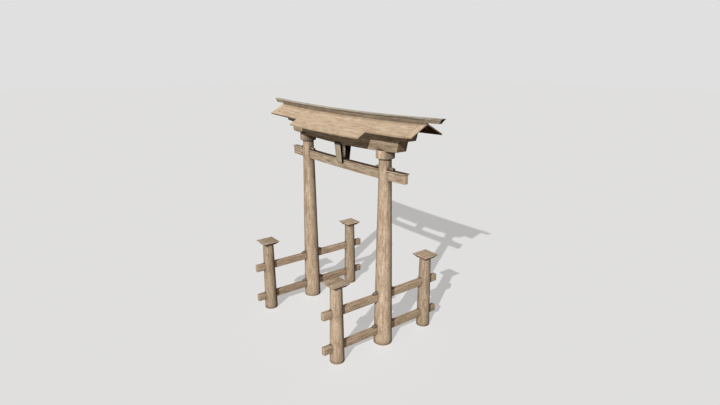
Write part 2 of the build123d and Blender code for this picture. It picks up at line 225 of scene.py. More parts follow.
@dataclass(frozen=True)
class WoodFinish:
    """Bare cypress, cut and weathered in one way.

    Patterns run in the timber's own log: x along the grain, y and z out from the pith.
    """

    slot: str  # The record's material slot; not used
    name: str  # The wood and how it was worked
    spring_wood: str  # Colour of the soft wood of each growth ring
    summer_wood: str  # Colour of the hard wood of each growth ring
    dark: str  # Colour of streaks and blotches
    pale: str  # Colour of patches bleached by the sun
    mark: str = "#5f4936"  # Colour of smudges and knots
    end_wood: str = "#8d7158"  # Colour of sawn ends
    soot: str = "#170b06"  # Colour of faces painted black: mostly painted shade, some stain
    streak_mm: float = 24.0  # Width of the streaks that run with the fibres
    streak_length_mm: float = 520.0  # Length of those streaks
    blotch_mm: float = 84.0  # Width of the bleached patches
    dark_share: float = 0.7  # Width of the dark blotches, as a share of that width
    fleck: float = 0.3  # How much of the wood its small weather flecks hide
    ring_mm: float = 15.0  # Width of a growth ring, several times the real one so that it can be seen
    ring_wobble_mm: float = 26.0  # How far uneven growth pushes the rings about
    swelling_mm: float = 153.85  # Width of the swellings of that growth
    swelling_length_mm: float = 909.1  # Length of those swellings
    ring_share: float = 0.34  # How dark the summer wood shows
    summer: tuple[float, float] = (0.35, 0.98)  # Where in a ring its summer wood begins, and where it is full
    knot_spacing_mm: float = 230.0  # Distance between knots across the log
    knot_length_mm: float = 760.0  # Distance between knots along the log
    knot_reach: float = 0.07  # Size of a knot, as a share of that distance
    knot_core: float = 0.4  # Size of the part that shows in full, as a share of the knot's
    bump_mm: float = 1.4  # Relief of the weathered grain
    bump_share: float = 0.6  # How much of that relief shows
    streak_depth: float = 0.9  # How deep streaks are worn in, next to how far summer wood stands out
    roughness: tuple[float, float] = (0.78, 0.95)  # Roughness between the streaks and in them
    splash_mm: float = 0.0  # Height to which rain splashes it from the ground
    grime: float = 0.93  # How much of the wood painted shade hides in the deepest corners
    grime_colour: str = "#1c110b"  # Colour of that painted shade
    grime_mm: float = 130.0  # How far from a corner the painted shade reaches
    grime_sky: tuple[float, float] = (0.97, 0.36)  # Open sky where the painted shade begins, and where it is full
    washed_mm: float = 160.0  # Height from the ground up to which the painted shade fades
    end_share: float = 0.5  # How much of the wood the colour of sawn ends hides
    worn_share: float = 0.4  # How much of the wood the pale colour hides on worn arrises
    knot_share: float = 0.75  # How much of the wood a knot hides
    splash_share: float = 0.4  # How much of the wood splashes hide at the ground
    washed_share: float = 0.35  # How much of the painted shade is left at the ground

    def material(self) -> bpy.types.Material:
        """Builds the wood's node tree.

        Returns:
            The material, named for the wood and how it was finished.
        """
        material = bpy.data.materials.new(self.name)
        add = emptied(material)
        grain = add("ShaderNodeAttribute", {"attribute_name": GRAIN})["Vector"]
        place = add("ShaderNodeTexCoord")["Object"]
        height = add("ShaderNodeSeparateXYZ", None, {0: place})["Z"]
        summer, colour = self.rings(add, grain)
        for layer in self.weather():
            streak, colour = layer.lay(add, grain, colour)

        # Over the weathered wood lie knots, its tone, sawn ends, worn arrises, faces painted black (mostly
        # painted shade, some stain), splashes and painted shade in corners
        covers = [(self.knots(add, grain), self.mark)]
        told = {
            TONE: ("#000000", 1.0),
            END_GRAIN: (self.end_wood, self.end_share),
            WORN: (self.pale, self.worn_share),
            BLACK: (self.soot, 1.0),
        }
        for name, (over, full) in told.items():
            share = add("ShaderNodeAttribute", {"attribute_name": name})["Fac"]
            share = add(MATH, MULTIPLY, {0: share, 1: full})[0]
            covers.append((share, over))
        if self.splash_mm:
            covers.append((self.splashes(add, height, streak), self.dark))
        # Painted shade in corners and hollows
        covers.append((self.corners(add, height), self.grime_colour))
        for share, over in covers:
            cover = {0: share, 6: colour, 7: linear(over)}
            colour = add("ShaderNodeMix", RGBA, cover)[2]

        # Relief: hard summer wood stands proud and streaks are worn in
        relief = add(MATH, MULTIPLY_ADD, {0: streak, 1: -self.streak_depth, 2: summer})[0]
        depth = {"Strength": self.bump_share, "Distance": self.bump_mm * MM, "Height": relief}
        bump = add("ShaderNodeBump", None, depth)[0]
        smooth, coarse = self.roughness
        rough = add(RANGE, None, {"Value": streak, "To Min": smooth, "To Max": coarse})[0]
        look = {"Base Color": colour, "Roughness": rough, "Normal": bump}
        look |= {"IOR": 1.5, "Specular IOR Level": 0.0}
        wood = add("ShaderNodeBsdfPrincipled", None, look)[0]
        add("ShaderNodeOutputMaterial", None, {"Surface": wood})
        return material

    def weather(self) -> tuple[Layer, ...]:
        """Fine fibres, bleached patches, blotches, smudges, flecks, and last the streaks along the fibres."""
        return (
            Layer(self.summer_wood, 260.0, 8.0, 0.4, 0.66, 0.62),
            Layer(self.pale, 420.0, self.blotch_mm, 0.5, 0.72, 0.75, 3.0),
            Layer(self.dark, 330.0, self.blotch_mm * self.dark_share, 0.47, 0.72, 0.7, 3.0),
            Layer(self.mark, 90.0, 34.0, 0.61, 0.76, 0.4, 3.0),
            Layer(self.mark, 48.0, 24.0, 0.48, 0.64, self.fleck),
            Layer(self.dark, self.streak_length_mm, self.streak_mm, 0.46, 0.74, 0.6, 3.0),
        )

    def rings(self, add: Adder, grain: Socket) -> tuple[Socket, Socket]:
        """Adds the growth rings: distance from the pith, pushed about by the tree's uneven growth.

        Args:
            add: Adds a node to the material's tree.
            grain: The place in the log.

        Returns:
            How much summer wood shows, and the colour of the rings.
        """
        swelling = drawn_out(self.swelling_length_mm, self.swelling_mm)
        drawn = add(VECTOR, MULTIPLY, {0: grain, 1: swelling})[0]
        wobble = add("ShaderNodeTexNoise", None, {"Vector": drawn, "Scale": 1.0, "Detail": 2.0})[0]
        flat = add(VECTOR, MULTIPLY, {0: grain, 1: (0, 1, 1)})[0]
        radius = add(VECTOR, {"operation": "LENGTH"}, {0: flat})["Value"]
        uneven = {0: wobble, 1: self.ring_wobble_mm * MM, 2: radius}
        grown = add(MATH, MULTIPLY_ADD, uneven)[0]
        years = add(MATH, DIVIDE, {0: grown, 1: self.ring_mm * MM})[0]
        season = add(MATH, {"operation": "FRACT"}, {0: years})[0]
        begins, full = self.summer
        limits = {"Value": season, "From Min": begins, "From Max": full, "To Max": self.ring_share}
        summer = add(RANGE, SMOOTH, limits)[0]
        both = {0: summer, 6: linear(self.spring_wood), 7: linear(self.summer_wood)}
        return summer, add("ShaderNodeMix", RGBA, both)[2]

    def knots(self, add: Adder, grain: Socket) -> Socket:
        """Adds the nodes for the knots, few and small, and returns how much they show."""
        apart = drawn_out(self.knot_length_mm, self.knot_spacing_mm)
        cells = add(VECTOR, MULTIPLY, {0: grain, 1: apart})[0]
        near = add("ShaderNodeTexVoronoi", None, {"Vector": cells, "Scale": 1.0})["Distance"]
        reach = self.knot_reach
        core = reach * self.knot_core
        limits = {"Value": near, "From Min": reach, "From Max": core, "To Max": self.knot_share}
        return add(RANGE, SMOOTH, limits)[0]

    def splashes(self, add: Adder, height: Socket, streak: Socket) -> Socket:
        """Adds the nodes for splashes from the ground.

        Args:
            add: Adds a node to the material's tree.
            height: Height from the ground.
            streak: How much the streaks show, which makes the splashes' edge ragged.

        Returns:
            How much the splashes show.
        """
        reach = self.splash_mm * MM
        ragged = add(MATH, MULTIPLY_ADD, {0: streak, 1: reach, 2: height})[0]
        limits = {"Value": ragged, "From Min": reach, "From Max": 0.0, "To Max": self.splash_share}
        return add(RANGE, SMOOTH, limits)[0]

    def corners(self, add: Adder, height: Socket) -> Socket:
        """Adds the nodes for painted shade where timbers meet and in hollows, darker where little open sky is
        seen and faded near the ground, and returns how much it shows.
        """
        # Painted shade: the less open sky the occlusion finds within reach, the darker the colour
        sky = add("ShaderNodeAmbientOcclusion", {"samples": 12}, {"Distance": self.grime_mm * MM})["AO"]
        begins, full = self.grime_sky
        limits = {"Value": sky, "From Min": begins, "From Max": full, "To Max": self.grime}
        grime = add(RANGE, SMOOTH, limits)[0]
        # The painted shade fades towards the ground
        limits = {"Value": height, "From Max": self.washed_mm * MM, "To Min": self.washed_share}
        dry = add(RANGE, None, limits)[0]
        return add(MATH, MULTIPLY, {0: grime, 1: dry})[0]


# Legs: peeled trunks planed round, so long streaks run up them, with bleached patches between
POST_WOOD = WoodFinish(
    "post_timber", "cypress, peeled and planed round", "#c8b39a", "#9f876e", "#947d67", "#d0bea9",
    splash_mm=240.0,
)
# Rings: turned from the same wood, kept paler by the lintel over them
RING_WOOD = WoodFinish("ring_timber", "cypress, turned", "#e2ccb3", "#b69d82", "#a89077", "#ebdac0")
# Rails: sawn square and planed, browner where hands and rain reach them
RAIL_WOOD = WoodFinish(
    "rail_timber", "cypress, sawn and planed", "#cab398", "#947b64", "#8b735e", "#d5c1a9",
    end_wood="#b8a48e", streak_mm=20.0, blotch_mm=60.0,
)
# Wedges: split from offcuts, rough, with a bruised brown look
WEDGE_WOOD = WoodFinish(
    "wedge_wood", "cypress, split", "#988a7a", "#6d5d4f", "#655547", "#a19387", streak_mm=10.0, blotch_mm=40.0
)
# Tie beam: planed beam timber, with streaks along it
TIE_WOOD = WoodFinish(
    "tie_timber", "cypress, planed beam", "#cab59c", "#947f69", "#857059", "#d9c6ae",
    end_wood="#cbaa89", blotch_mm=64.0, fleck=0.0,
)
# Strut: small timber behind the tablets, silvered and grey
STRUT_WOOD = WoodFinish("tie_timber", "cypress, silvered", "#d3cab8", "#9f9789", "#958c7e", "#ece4d3")
# Cap boards: flat boards that catch the rain, so streaked and stained
CAP_WOOD = WoodFinish(
    "cap_board", "cypress, weathered board", "#d9c3a8", "#9d856d", "#947c66", "#e4d2ba",
    streak_mm=18.0, blotch_mm=60.0,
)
# Tablets: two plain planed boards, their backs and edges painted black as shade
TABLET_WOOD = WoodFinish("tablet_board", "cypress, planed board", "#c3b8a2", "#998873", "#927f6c", "#cac2ac")
# Lintels: the heaviest timbers, a darker wood; their sawn ends darker still, partly end grain and partly
# painted shade under the roof
LINTEL_WOOD = WoodFinish(
    "lintel_timber", "cypress, planed lintel", "#b8a48b", "#887460", "#786752", "#c6b49b", end_wood="#5f4229"
)
# Roof: boards bleached by the sun, the palest wood on the gate
ROOF_WOOD = WoodFinish(
    "roof_board", "cypress, bleached roof board", "#dac3a8", "#b79e7f", "#b0967c", "#e3ceb5",
    soot="#4c1f0c", streak_length_mm=280.0, blotch_mm=104.0, ring_share=0.22, grime=0.6, fleck=0.0,
)
# Ridge: weathered as the roof is, dimmed under the cap by painted shade
RIDGE_WOOD = WoodFinish(
    "ridge_timber", "cypress, weathered ridge", "#cdb89d", "#9f8a74", "#937f69", "#ddcbb1",
    grime=0.25, fleck=0.0,
)
# Ridge cap: the board most open to the sky, silvered along its lip
SILVER_WOOD = WoodFinish(
    "ridge_timber", "cypress, silvered ridge cap", "#dbd1c0", "#ab9d8c", "#9d9080", "#ebe4d5",
    grime=0.7, fleck=0.0,
)


@dataclass(frozen=True)
class Log:
    """Where a timber lay in the tree that it was cut from."""

    axis: Axis  # The way that the grain runs
    pith: tuple[float, float, float]  # A point on the tree's pith
    shift: float  # A start along the log, so that no two timbers share a pattern
    bend: float = math.inf  # Radius of the sweep that the grain follows

    def coordinates(self, points: np.ndarray) -> np.ndarray:
        """Turns places on the gate into places in the log, x along the grain."""
        local = points - np.array(self.pith)
        if math.isfinite(self.bend):
            local[:, 2] -= rise(points[:, 0], self.bend)
        along = local[:, self.axis.value] + self.shift
        return np.column_stack((along, np.delete(local, self.axis.value, axis=1)))

    def lay(self, mesh: bpy.types.Mesh) -> None:
        """Writes the grain and the sawn ends on a mesh."""
        points = np.empty(len(mesh.vertices) * 3)
        mesh.vertices.foreach_get("co", points)
        grain = mesh.attributes.new(GRAIN, "FLOAT_VECTOR", "POINT")
        grain.data.foreach_set("vector", self.coordinates(points.reshape(-1, 3)).ravel())
        sawn_ends(mesh, self.axis)


def sawn_ends(mesh: bpy.types.Mesh, axis: Axis) -> None:
    """Marks the faces that lie across the grain."""
    mark_faces(mesh, END_GRAIN, [float(abs(face.normal[axis.value]) > ENDWAYS) for face in mesh.polygons])


class RuleTree:
    """A geometry node tree with named inputs that makes one kind of piece by rule."""

    title = "rule"
    sizes: tuple[str, ...] = ()
    counts: tuple[str, ...] = ()
    # The seed of a piece is drawn from 0 up to this
    seeds = 40.0

    def __init__(self) -> None:
        """Builds the tree from its named inputs to Realize Instances and Set Material."""
        self.tree = bpy.data.node_groups.new(self.title, "GeometryNodeTree")
        self.tree.is_modifier = True
        face = self.tree.interface
        face.new_socket("Geometry", in_out="OUTPUT", socket_type="NodeSocketGeometry")
        kinds = {name: "NodeSocketFloat" for name in self.sizes}
        kinds.update({name: "NodeSocketInt" for name in self.counts})
        kinds["Material"] = "NodeSocketMaterial"
        self.sockets = {}
        for name, kind in kinds.items():
            self.sockets[name] = face.new_socket(name, in_out="INPUT", socket_type=kind).identifier
        self.add: Adder = partial(add_node, self.tree)
        self.group = self.add("NodeGroupInput")
        whole = self.add("GeometryNodeRealizeInstances", None, {"Geometry": self.shape()})[0]
        dressing = {"Geometry": whole, "Material": self.given("Material")}
        dressed = self.add("GeometryNodeSetMaterial", None, dressing)[0]
        self.add("NodeGroupOutput", None, {"Geometry": dressed})

    def given(self, name: str) -> Socket:
        """The value of one of the tree's inputs."""
        return self.group[name]

    def shape(self) -> Socket:
        """Builds the nodes that make the piece and returns its geometry."""
        raise NotImplementedError

    def swept(self, along: Socket, bend: Socket) -> Socket:
        """Adds the nodes for the height gained on a sweep.

        Args:
            along: Distance from the middle of the timber.
            bend: Radius of the sweep.

        Returns:
            The height gained.
        """
        add = self.add
        run = add(MATH, MULTIPLY, {0: along, 1: along})[0]
        full = add(MATH, MULTIPLY, {0: bend, 1: bend})[0]
        left = add(MATH, SUBTRACT, {0: full, 1: run})[0]
        root = add(MATH, {"operation": "SQRT"}, {0: left})[0]
        return add(MATH, SUBTRACT, {0: bend, 1: root})[0]

    def spread(self, y: Socket, inner: Socket, outer: Socket) -> tuple[Socket, Socket]:
        """Adds the nodes that set the columns of a block four points wide.

        Args:
            y: Place across the block.
            inner: Distance of the inner columns from the middle.
            outer: Distance of the outer columns from the middle.

        Returns:
            1 on the outer columns and 0 on the inner ones, and the place across the timber.
        """
        add = self.add
        away = add(MATH, ABSOLUTE, {0: y})[0]
        edge = add(RANGE, None, {"Value": away, "From Min": INNER_COLUMN})[0]
        half = add("ShaderNodeMix", None, {0: edge, 2: inner, 3: outer})[0]
        hand = add(MATH, SIGN, {0: y})[0]
        return edge, add(MATH, MULTIPLY, {0: hand, 1: half})[0]

    def piece(self, name: str, values: dict[str, Any]) -> bpy.types.Object:
        """Makes an object that carries the tree.

        Args:
            name: The object's name.
            values: A value for each named input.

        Returns:
            The object, with the tree as its modifier.
        """
        piece = new_piece(name, bpy.data.meshes.new(name))
        modifier = piece.modifiers.new(self.title, "NODES")
        modifier.node_group = self.tree
        for key, value in values.items():
            modifier[self.sockets[key]] = value
        return piece


class SweptTimber(RuleTree):
    """A beam swept up to both ends, with splayed ends, a foot, and shoulders that fall to the sides."""

    title = "swept timber"
    sizes = (
        "Half Length", "Splay", "Half Width", "Foot Half Width", "Shoulder Half Width", "Shoulder Drop",
        "Waist Share", "Low", "High", "Low Bend", "High Bend", "Wander", "Seed",
    )
    counts = ("Stations",)
    # Points along a beam
    stations = 48

    def shape(self) -> Socket:
        """Builds the nodes: a gridded block, whose points are then sent to their places on the beam."""
        add, given = self.add, self.given
        grid = {"Size": (2, 2, 2), "Vertices X": given("Stations"), "Vertices Y": 4, "Vertices Z": 3}
        block = add("GeometryNodeMeshCube", None, grid)["Mesh"]
        place = add("GeometryNodeInputPosition")[0]
        x, y, z = add("ShaderNodeSeparateXYZ", None, {0: place})

        # Across: the outer columns take the beam's width and the inner ones its shoulders
        widths = {3: given("Foot Half Width"), 4: given("Half Width")}
        width = add(RANGE, None, {"Value": z, "From Min": -1, "From Max": 0} | widths)[0]
        edge, across = self.spread(y, given("Shoulder Half Width"), width)

        # Up: the middle row lies at the waist
        waist = given("Waist Share")
        below = add(RANGE, None, {"Value": z, "From Min": -1, "From Max": 0, "To Max": waist})[0]
        rest = add(MATH, SUBTRACT, {0: 1.0, 1: waist})[0]
        above = add(RANGE, None, {"Value": z, "To Max": rest})[0]
        share = add(MATH, ADD, {0: below, 1: above})[0]
        height = add(MATH, SUBTRACT, {0: given("High"), 1: given("Low")})[0]
        lift = add(MATH, MULTIPLY, {0: share, 1: height})[0]

        # Along: longer towards the top where the ends are splayed
        reach = add(MATH, MULTIPLY_ADD, {0: lift, 1: given("Splay"), 2: given("Half Length")})[0]
        along = add(MATH, MULTIPLY, {0: x, 1: reach})[0]
        low_rise = self.swept(along, given("Low Bend"))
        high_rise = self.swept(along, given("High Bend"))
        sweep = add("ShaderNodeMix", None, {0: share, 2: low_rise, 3: high_rise})[0]
        top = add(MATH, MAXIMUM, {0: z, 1: 0.0})[0]
        shoulder = add(MATH, MULTIPLY, {0: top, 1: edge})[0]
        drop = add(MATH, MULTIPLY, {0: shoulder, 1: given("Shoulder Drop")})[0]
        up = add(MATH, ADD, {0: given("Low"), 1: lift})[0]
        up = add(MATH, ADD, {0: up, 1: sweep})[0]
        up = add(MATH, SUBTRACT, {0: up, 1: drop})[0]
        spot = add("ShaderNodeCombineXYZ", None, {0: along, 1: across, 2: up})[0]
        beam = add("GeometryNodeSetPosition", None, {"Geometry": block, "Position": spot})[0]

        # The slight wander of a beam planed by hand
        waves = {"Vector": place, "W": given("Seed"), "Scale": PLANE_WAVES, "Detail": 1.0}
        drift = add("ShaderNodeTexNoise", {"noise_dimensions": "4D"}, waves)["Color"]
        drift = add(VECTOR, SUBTRACT, {0: drift, 1: (0.5, 0.5, 0.5)})[0]
        drift = add(VECTOR, {"operation": "SCALE"}, {0: drift, "Scale": given("Wander")})[0]
        return add("GeometryNodeSetPosition", None, {"Geometry": beam, "Offset": drift})[0]

    def timber(
        self, shop: "Workshop", name: str, sizes: dict[str, float], finish: WoodFinish
    ) -> bpy.types.Object:
        """Makes one beam.

        Args:
            shop: Gives the wood and the seed.
            name: The piece's name.
            sizes: The beam's sizes. It is square, with a flat top, where no others are given.
            finish: The wood.

        Returns:
            The beam, with the tree as its modifier.
        """
        half = sizes["Half Width"]
        plain = {"Splay": 0.0, "Shoulder Drop": 0.0, "Waist Share": 0.5, "Stations": self.stations}
        plain |= {"Foot Half Width": half, "Shoulder Half Width": half / 3}
        chosen = {"Seed": shop.random.uniform(0, self.seeds), "Material": shop.wood(finish)}
        return self.piece(name, plain | sizes | chosen)


class RoundTimber(RuleTree):
    """A tapered round timber, standing on the ground, with the shallow waves left by the plane."""

    title = "round timber"
    sizes = ("Base Radius", "Head Radius", "Height", "Hewing", "Seed")
    counts = ("Sides", "Rings")
    # How often waves come: over the trunk's radius both ways, and in each metre up it
    strokes = (2.6, 2.6, 1.1)

    def shape(self) -> Socket:
        """Builds the nodes: a cylinder whose rings are sized by the taper and waved by the plane."""
        add, given = self.add, self.given
        drum = {"Vertices": given("Sides"), "Side Segments": given("Rings"), "Radius": 1.0}
        trunk = add("GeometryNodeMeshCylinder", None, drum | {"Depth": given("Height")})["Mesh"]
        place = add("GeometryNodeInputPosition")[0]
        x, y, z = add("ShaderNodeSeparateXYZ", None, {0: place})
        share = add(MATH, DIVIDE, {0: z, 1: given("Height")})[0]
        share = add(MATH, ADD, {0: share, 1: 0.5})[0]
        up = add(MATH, MULTIPLY, {0: share, 1: given("Height")})[0]
        taper = add("ShaderNodeMix", None, {0: share, 2: given("Base Radius"), 3: given("Head Radius")})[0]
        stroke = add(VECTOR, MULTIPLY, {0: place, 1: self.strokes})[0]
        waves = {"Vector": stroke, "W": given("Seed"), "Scale": 1.0, "Detail": 1.0}
        wave = add("ShaderNodeTexNoise", {"noise_dimensions": "4D"}, waves)[0]
        wave = add(MATH, SUBTRACT, {0: wave, 1: 0.5})[0]
        radius = add(MATH, MULTIPLY_ADD, {0: wave, 1: given("Hewing"), 2: taper})[0]
        out_x = add(MATH, MULTIPLY, {0: x, 1: radius})[0]
        out_y = add(MATH, MULTIPLY, {0: y, 1: radius})[0]
        spot = add("ShaderNodeCombineXYZ", None, {0: out_x, 1: out_y, 2: up})[0]
        return add("GeometryNodeSetPosition", None, {"Geometry": trunk, "Position": spot})[0]


class BoardCourse(RuleTree):
    """One course of roof boards laid end to end along the sweep of the roof."""

    title = "board course"
    sizes = (
        "Half Length", "Start", "Width", "Thickness", "Apex", "Fall", "Bend", "Hand", "Arris", "Gap", "Seed",
    )
    counts = ("Boards", "Stations")
    seeds = 90.0
    # Least and greatest place of a board in its log: along it, aside from its pith and out from it
    nearest_log = (0.0, -0.14, 0.09)
    furthest_log = (60.0, 0.14, 0.3)

    def shape(self) -> Socket:
        """Builds the nodes: boards set along a line, each with its own log, laid down on the slope."""
        add, given = self.add, self.given
        length = add(MATH, DIVIDE, {0: given("Half Length"), 1: given("Boards")})[0]
        trim = add(MATH, MULTIPLY, {0: given("Gap"), 1: 0.5})[0]
        half_length = add(MATH, SUBTRACT, {0: length, 1: trim})[0]
        half_width = add(MATH, MULTIPLY, {0: given("Width"), 1: 0.5})[0]
        outer = add(MATH, SUBTRACT, {0: half_width, 1: trim})[0]
        inner = add(MATH, SUBTRACT, {0: outer, 1: given("Arris")})[0]

        # One board, flat, with its long upper arrises eased
        grid = {"Size": (2, 2, 2), "Vertices X": given("Stations"), "Vertices Y": 4, "Vertices Z": 2}
        block = add("GeometryNodeMeshCube", None, grid)["Mesh"]
        place = add("GeometryNodeInputPosition")[0]
        x, y, z = add("ShaderNodeSeparateXYZ", None, {0: place})
        edge, across = self.spread(y, inner, outer)
        along = add(MATH, MULTIPLY, {0: x, 1: half_length})[0]
        top = add(MATH, MAXIMUM, {0: z, 1: 0.0})[0]
        eased = add(MATH, MULTIPLY, {0: edge, 1: given("Arris")})[0]
        full = add(MATH, SUBTRACT, {0: given("Thickness"), 1: eased})[0]
        up = add(MATH, MULTIPLY, {0: top, 1: full})[0]
        flat = add("ShaderNodeCombineXYZ", None, {0: along, 1: across, 2: up})[0]
        board = add("GeometryNodeSetPosition", None, {"Geometry": block, "Position": flat})[0]

        # The boards of the course, end to end
        first = add(MATH, SUBTRACT, {0: length, 1: given("Half Length")})[0]
        middle = add(MATH, ADD, {0: given("Start"), 1: half_width})[0]
        pitch = add(MATH, MULTIPLY, {0: length, 1: 2.0})[0]
        start = add("ShaderNodeCombineXYZ", None, {0: first, 1: middle})[0]
        step = add("ShaderNodeCombineXYZ", None, {0: pitch})[0]
        row = {"Count": given("Boards"), "Start Location": start, "Offset": step}
        line = add("GeometryNodeMeshLine", {"mode": "OFFSET"}, row)[0]
        laid = add("GeometryNodeInstanceOnPoints", None, {"Points": line, "Instance": board})[0]
        vector = {"data_type": "FLOAT_VECTOR"}
        logs = {0: self.nearest_log, 1: self.furthest_log, "Seed": given("Seed")}
        log = add("FunctionNodeRandomValue", vector, logs)[0]
        store = {"Geometry": laid, "Name": "log", "Value": log}
        laid = add("GeometryNodeStoreNamedAttribute", vector | {"domain": "INSTANCE"}, store)[0]
        boards = add("GeometryNodeRealizeInstances", None, {"Geometry": laid})[0]
        cut_from = add("GeometryNodeInputNamedAttribute", vector, {"Name": "log"})[0]
        spot = add("GeometryNodeInputPosition")[0]
        grain = add(VECTOR, ADD, {0: spot, 1: cut_from})[0]
        store = {"Geometry": boards, "Name": GRAIN, "Value": grain}
        boards = add("GeometryNodeStoreNamedAttribute", vector | {"domain": "POINT"}, store)[0]

        # Down on the slope, with plumb cuts at the apex and the eave
        flat_x, flat_y, flat_z = add("ShaderNodeSeparateXYZ", None, {0: spot})
        side = add(MATH, MULTIPLY, {0: flat_y, 1: given("Hand")})[0]
        fall = add(MATH, MULTIPLY, {0: flat_y, 1: given("Fall")})[0]
        sweep = self.swept(flat_x, given("Bend"))
        level = add(MATH, SUBTRACT, {0: given("Apex"), 1: given("Thickness")})[0]
        level = add(MATH, ADD, {0: level, 1: sweep})[0]
        level = add(MATH, SUBTRACT, {0: level, 1: fall})[0]
        level = add(MATH, ADD, {0: level, 1: flat_z})[0]
        spot = add("ShaderNodeCombineXYZ", None, {0: flat_x, 1: side, 2: level})[0]
        return add("GeometryNodeSetPosition", None, {"Geometry": boards, "Position": spot})[0]


def new_piece(name: str, mesh: bpy.types.Mesh) -> bpy.types.Object:
    """Makes an object from a mesh and puts it in the scene."""
    piece = bpy.data.objects.new(name, mesh)
    bpy.context.scene.collection.objects.link(piece)
    return piece


def make_plain(piece: bpy.types.Object) -> None:
    """Turns a piece and its modifiers into a plain mesh."""
    graph = bpy.context.evaluated_depsgraph_get()
    shown = piece.evaluated_get(graph)
    made = bpy.data.meshes.new_from_object(shown, preserve_all_data_layers=True, depsgraph=graph)
    made.name = piece.name
    piece.modifiers.clear()
    old = piece.data
    piece.data = made
    bpy.data.meshes.remove(old)


def skin(shell: bmesh.types.BMesh, rows: Sequence[Sequence[Vector]], ring: bool = False) -> None:
    """Adds the faces of a closed shape to a shell.

    Args:
        shell: The shell that takes them.
        rows: Outlines with as many corners each, from one end of the shape to the other.
        ring: Whether the last outline joins the first, in place of two closed ends.
    """
    made = [[shell.verts.new(corner) for corner in row] for row in rows]
    sides = len(made[0])
    for near, far in zip(made, made[1:] + (made[:1] if ring else [])):
        for i in range(sides):
            shell.faces.new((near[i], near[(i + 1) % sides], far[(i + 1) % sides], far[i]))
    if not ring:
        shell.faces.new(made[0])
        shell.faces.new(made[-1])


def finished(shell: bmesh.types.BMesh, name: str) -> bpy.types.Object:
    """Turns a shell into a piece whose faces point outwards."""
    bmesh.ops.recalc_face_normals(shell, faces=shell.faces)
    mesh = bpy.data.meshes.new(name)
    shell.to_mesh(mesh)
    shell.free()
    return new_piece(name, mesh)


def loft(name: str, rows: Sequence[Sequence[Vector]], ring: bool = False) -> bpy.types.Object:
    """Makes a piece from its outlines, as skin takes them."""
    shell = bmesh.new()
    skin(shell, rows, ring)
    return finished(shell, name)


def prism(name: str, outline: Sequence[Vector], run: Vector, stations: int) -> bpy.types.Object:
    """Makes a straight timber.

    Args:
        name: The piece's name.
        outline: The corners of one end, in order.
        run: The way and distance to the other end.
        stations: How many lengths the timber is divided into.

    Returns:
        The piece, with its faces pointing outwards.
    """
    return loft(name, [[corner + run * i / stations for corner in outline] for i in range(stations + 1)])


def squared(name: str, node: str, axis: Axis, stations: int) -> bpy.types.Object:
    """Makes a straight squared timber as large as a CAD node.

    Args:
        name: The piece's name.
        node: The CAD node that gives its size and place.
        axis: The way that it runs.
        stations: How many lengths the timber is divided into.

    Returns:
        The piece, with its faces pointing outwards.
    """
    low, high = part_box(node)
    a, b = (i for i in range(3) if i != axis.value)
    outline = []
    for place_a, place_b in ((low[a], low[b]), (high[a], low[b]), (high[a], high[b]), (low[a], high[b])):
        corner = low.copy()
        corner[a], corner[b] = place_a, place_b
        outline.append(corner)
    run = Vector((0, 0, 0))
    run[axis.value] = high[axis.value] - low[axis.value]
    return prism(name, outline, run, stations)


class Cutter(Protocol):
    """Something that is taken out of a timber."""

    def rows(self, seed: float) -> list[list[Vector]]:
        """The outlines of what is taken out."""


@dataclass(frozen=True)
class Check:
    """A drying check: a long split that narrows to both ends and goes in towards the pith."""

    start: Vector  # One end, on the surface
    stop: Vector  # The other end, on the surface
    out: Vector  # The way out of the timber
    width: float = 5 * MM  # Half the width of its mouth
    depth: float = 22 * MM  # How far it goes in
    stations: int = 10  # How many lengths it is divided into
    tip_share: float = 0.04  # Its size at its ends, as a share of its size in the middle
    narrowing: float = 0.7  # How early it narrows towards its ends
    turns: float = 4.0  # How often it wanders to and fro
    wander_share: float = 1.6  # How far it wanders, as a share of its half width

    def rows(self, seed: float) -> list[list[Vector]]:
        """The outlines of the split, which wanders by the seed."""
        run = self.stop - self.start
        side = run.cross(self.out).normalized()
        made = []
        for i in range(self.stations + 1):
            share = i / self.stations
            swell = self.tip_share
            if 0 < i < self.stations:
                swell += (1 - self.tip_share) * math.sin(math.pi * share) ** self.narrowing
            drift = side * noise.noise((seed, share * self.turns, 0.0)) * self.width * self.wander_share
            spot = self.start + run * share + drift
            lip = spot + self.out * self.width
            mouth = side * self.width * swell
            made.append([lip - mouth, lip + mouth, spot - self.out * self.depth * swell])
        return made


@dataclass(frozen=True)
class KnotHole:
    """A knot that has shrunk and left a shallow hole."""

    spot: Vector  # Its middle, on the surface
    out: Vector  # The way out of the timber
    along: Vector  # The way that the grain runs
    width: float = 20 * MM  # Half its width
    length: float = 42 * MM  # Half its length
    depth: float = 16 * MM  # How far it goes in
    sides: int = 12  # Points round it
    stations: int = 6  # How many steps it is divided into, from over the surface to its bottom
    tip_share: float = 0.04  # Where its first and last outline lie, as a share of half a turn
    raggedness: float = 0.22  # How far its edge strays, as a share of its size
    nicks: float = 1.3  # How often its edge strays to and fro
    twist: float = 0.2  # How fast its edge changes from step to step

    def rows(self, seed: float) -> list[list[Vector]]:
        """The outlines of the hole, ragged by the seed."""
        side = self.along.cross(self.out)
        made = []
        for i in range(self.stations + 1):
            tilt = math.pi * (self.tip_share + (1 - 2 * self.tip_share) * i / self.stations)
            row = []
            for j in range(self.sides):
                turn = math.tau * j / self.sides
                nick = (seed, math.cos(turn) * self.nicks, math.sin(turn) * self.nicks + i * self.twist)
                ragged = 1 + self.raggedness * noise.noise(nick)
                across = self.along * self.length * math.cos(turn) + side * self.width * math.sin(turn)
                lift = self.out * self.depth * math.cos(tilt)
                row.append(self.spot + across * math.sin(tilt) * ragged + lift)
            made.append(row)
        return made


@dataclass(frozen=True)
class Notch:
    """A block sawn out of a timber."""

    outlines: tuple[tuple[Vector, ...], ...]  # The block's outlines, from one end to the other

    def rows(self, seed: float) -> list[list[Vector]]:
        """The outlines of the block."""
        return [list(outline) for outline in self.outlines]


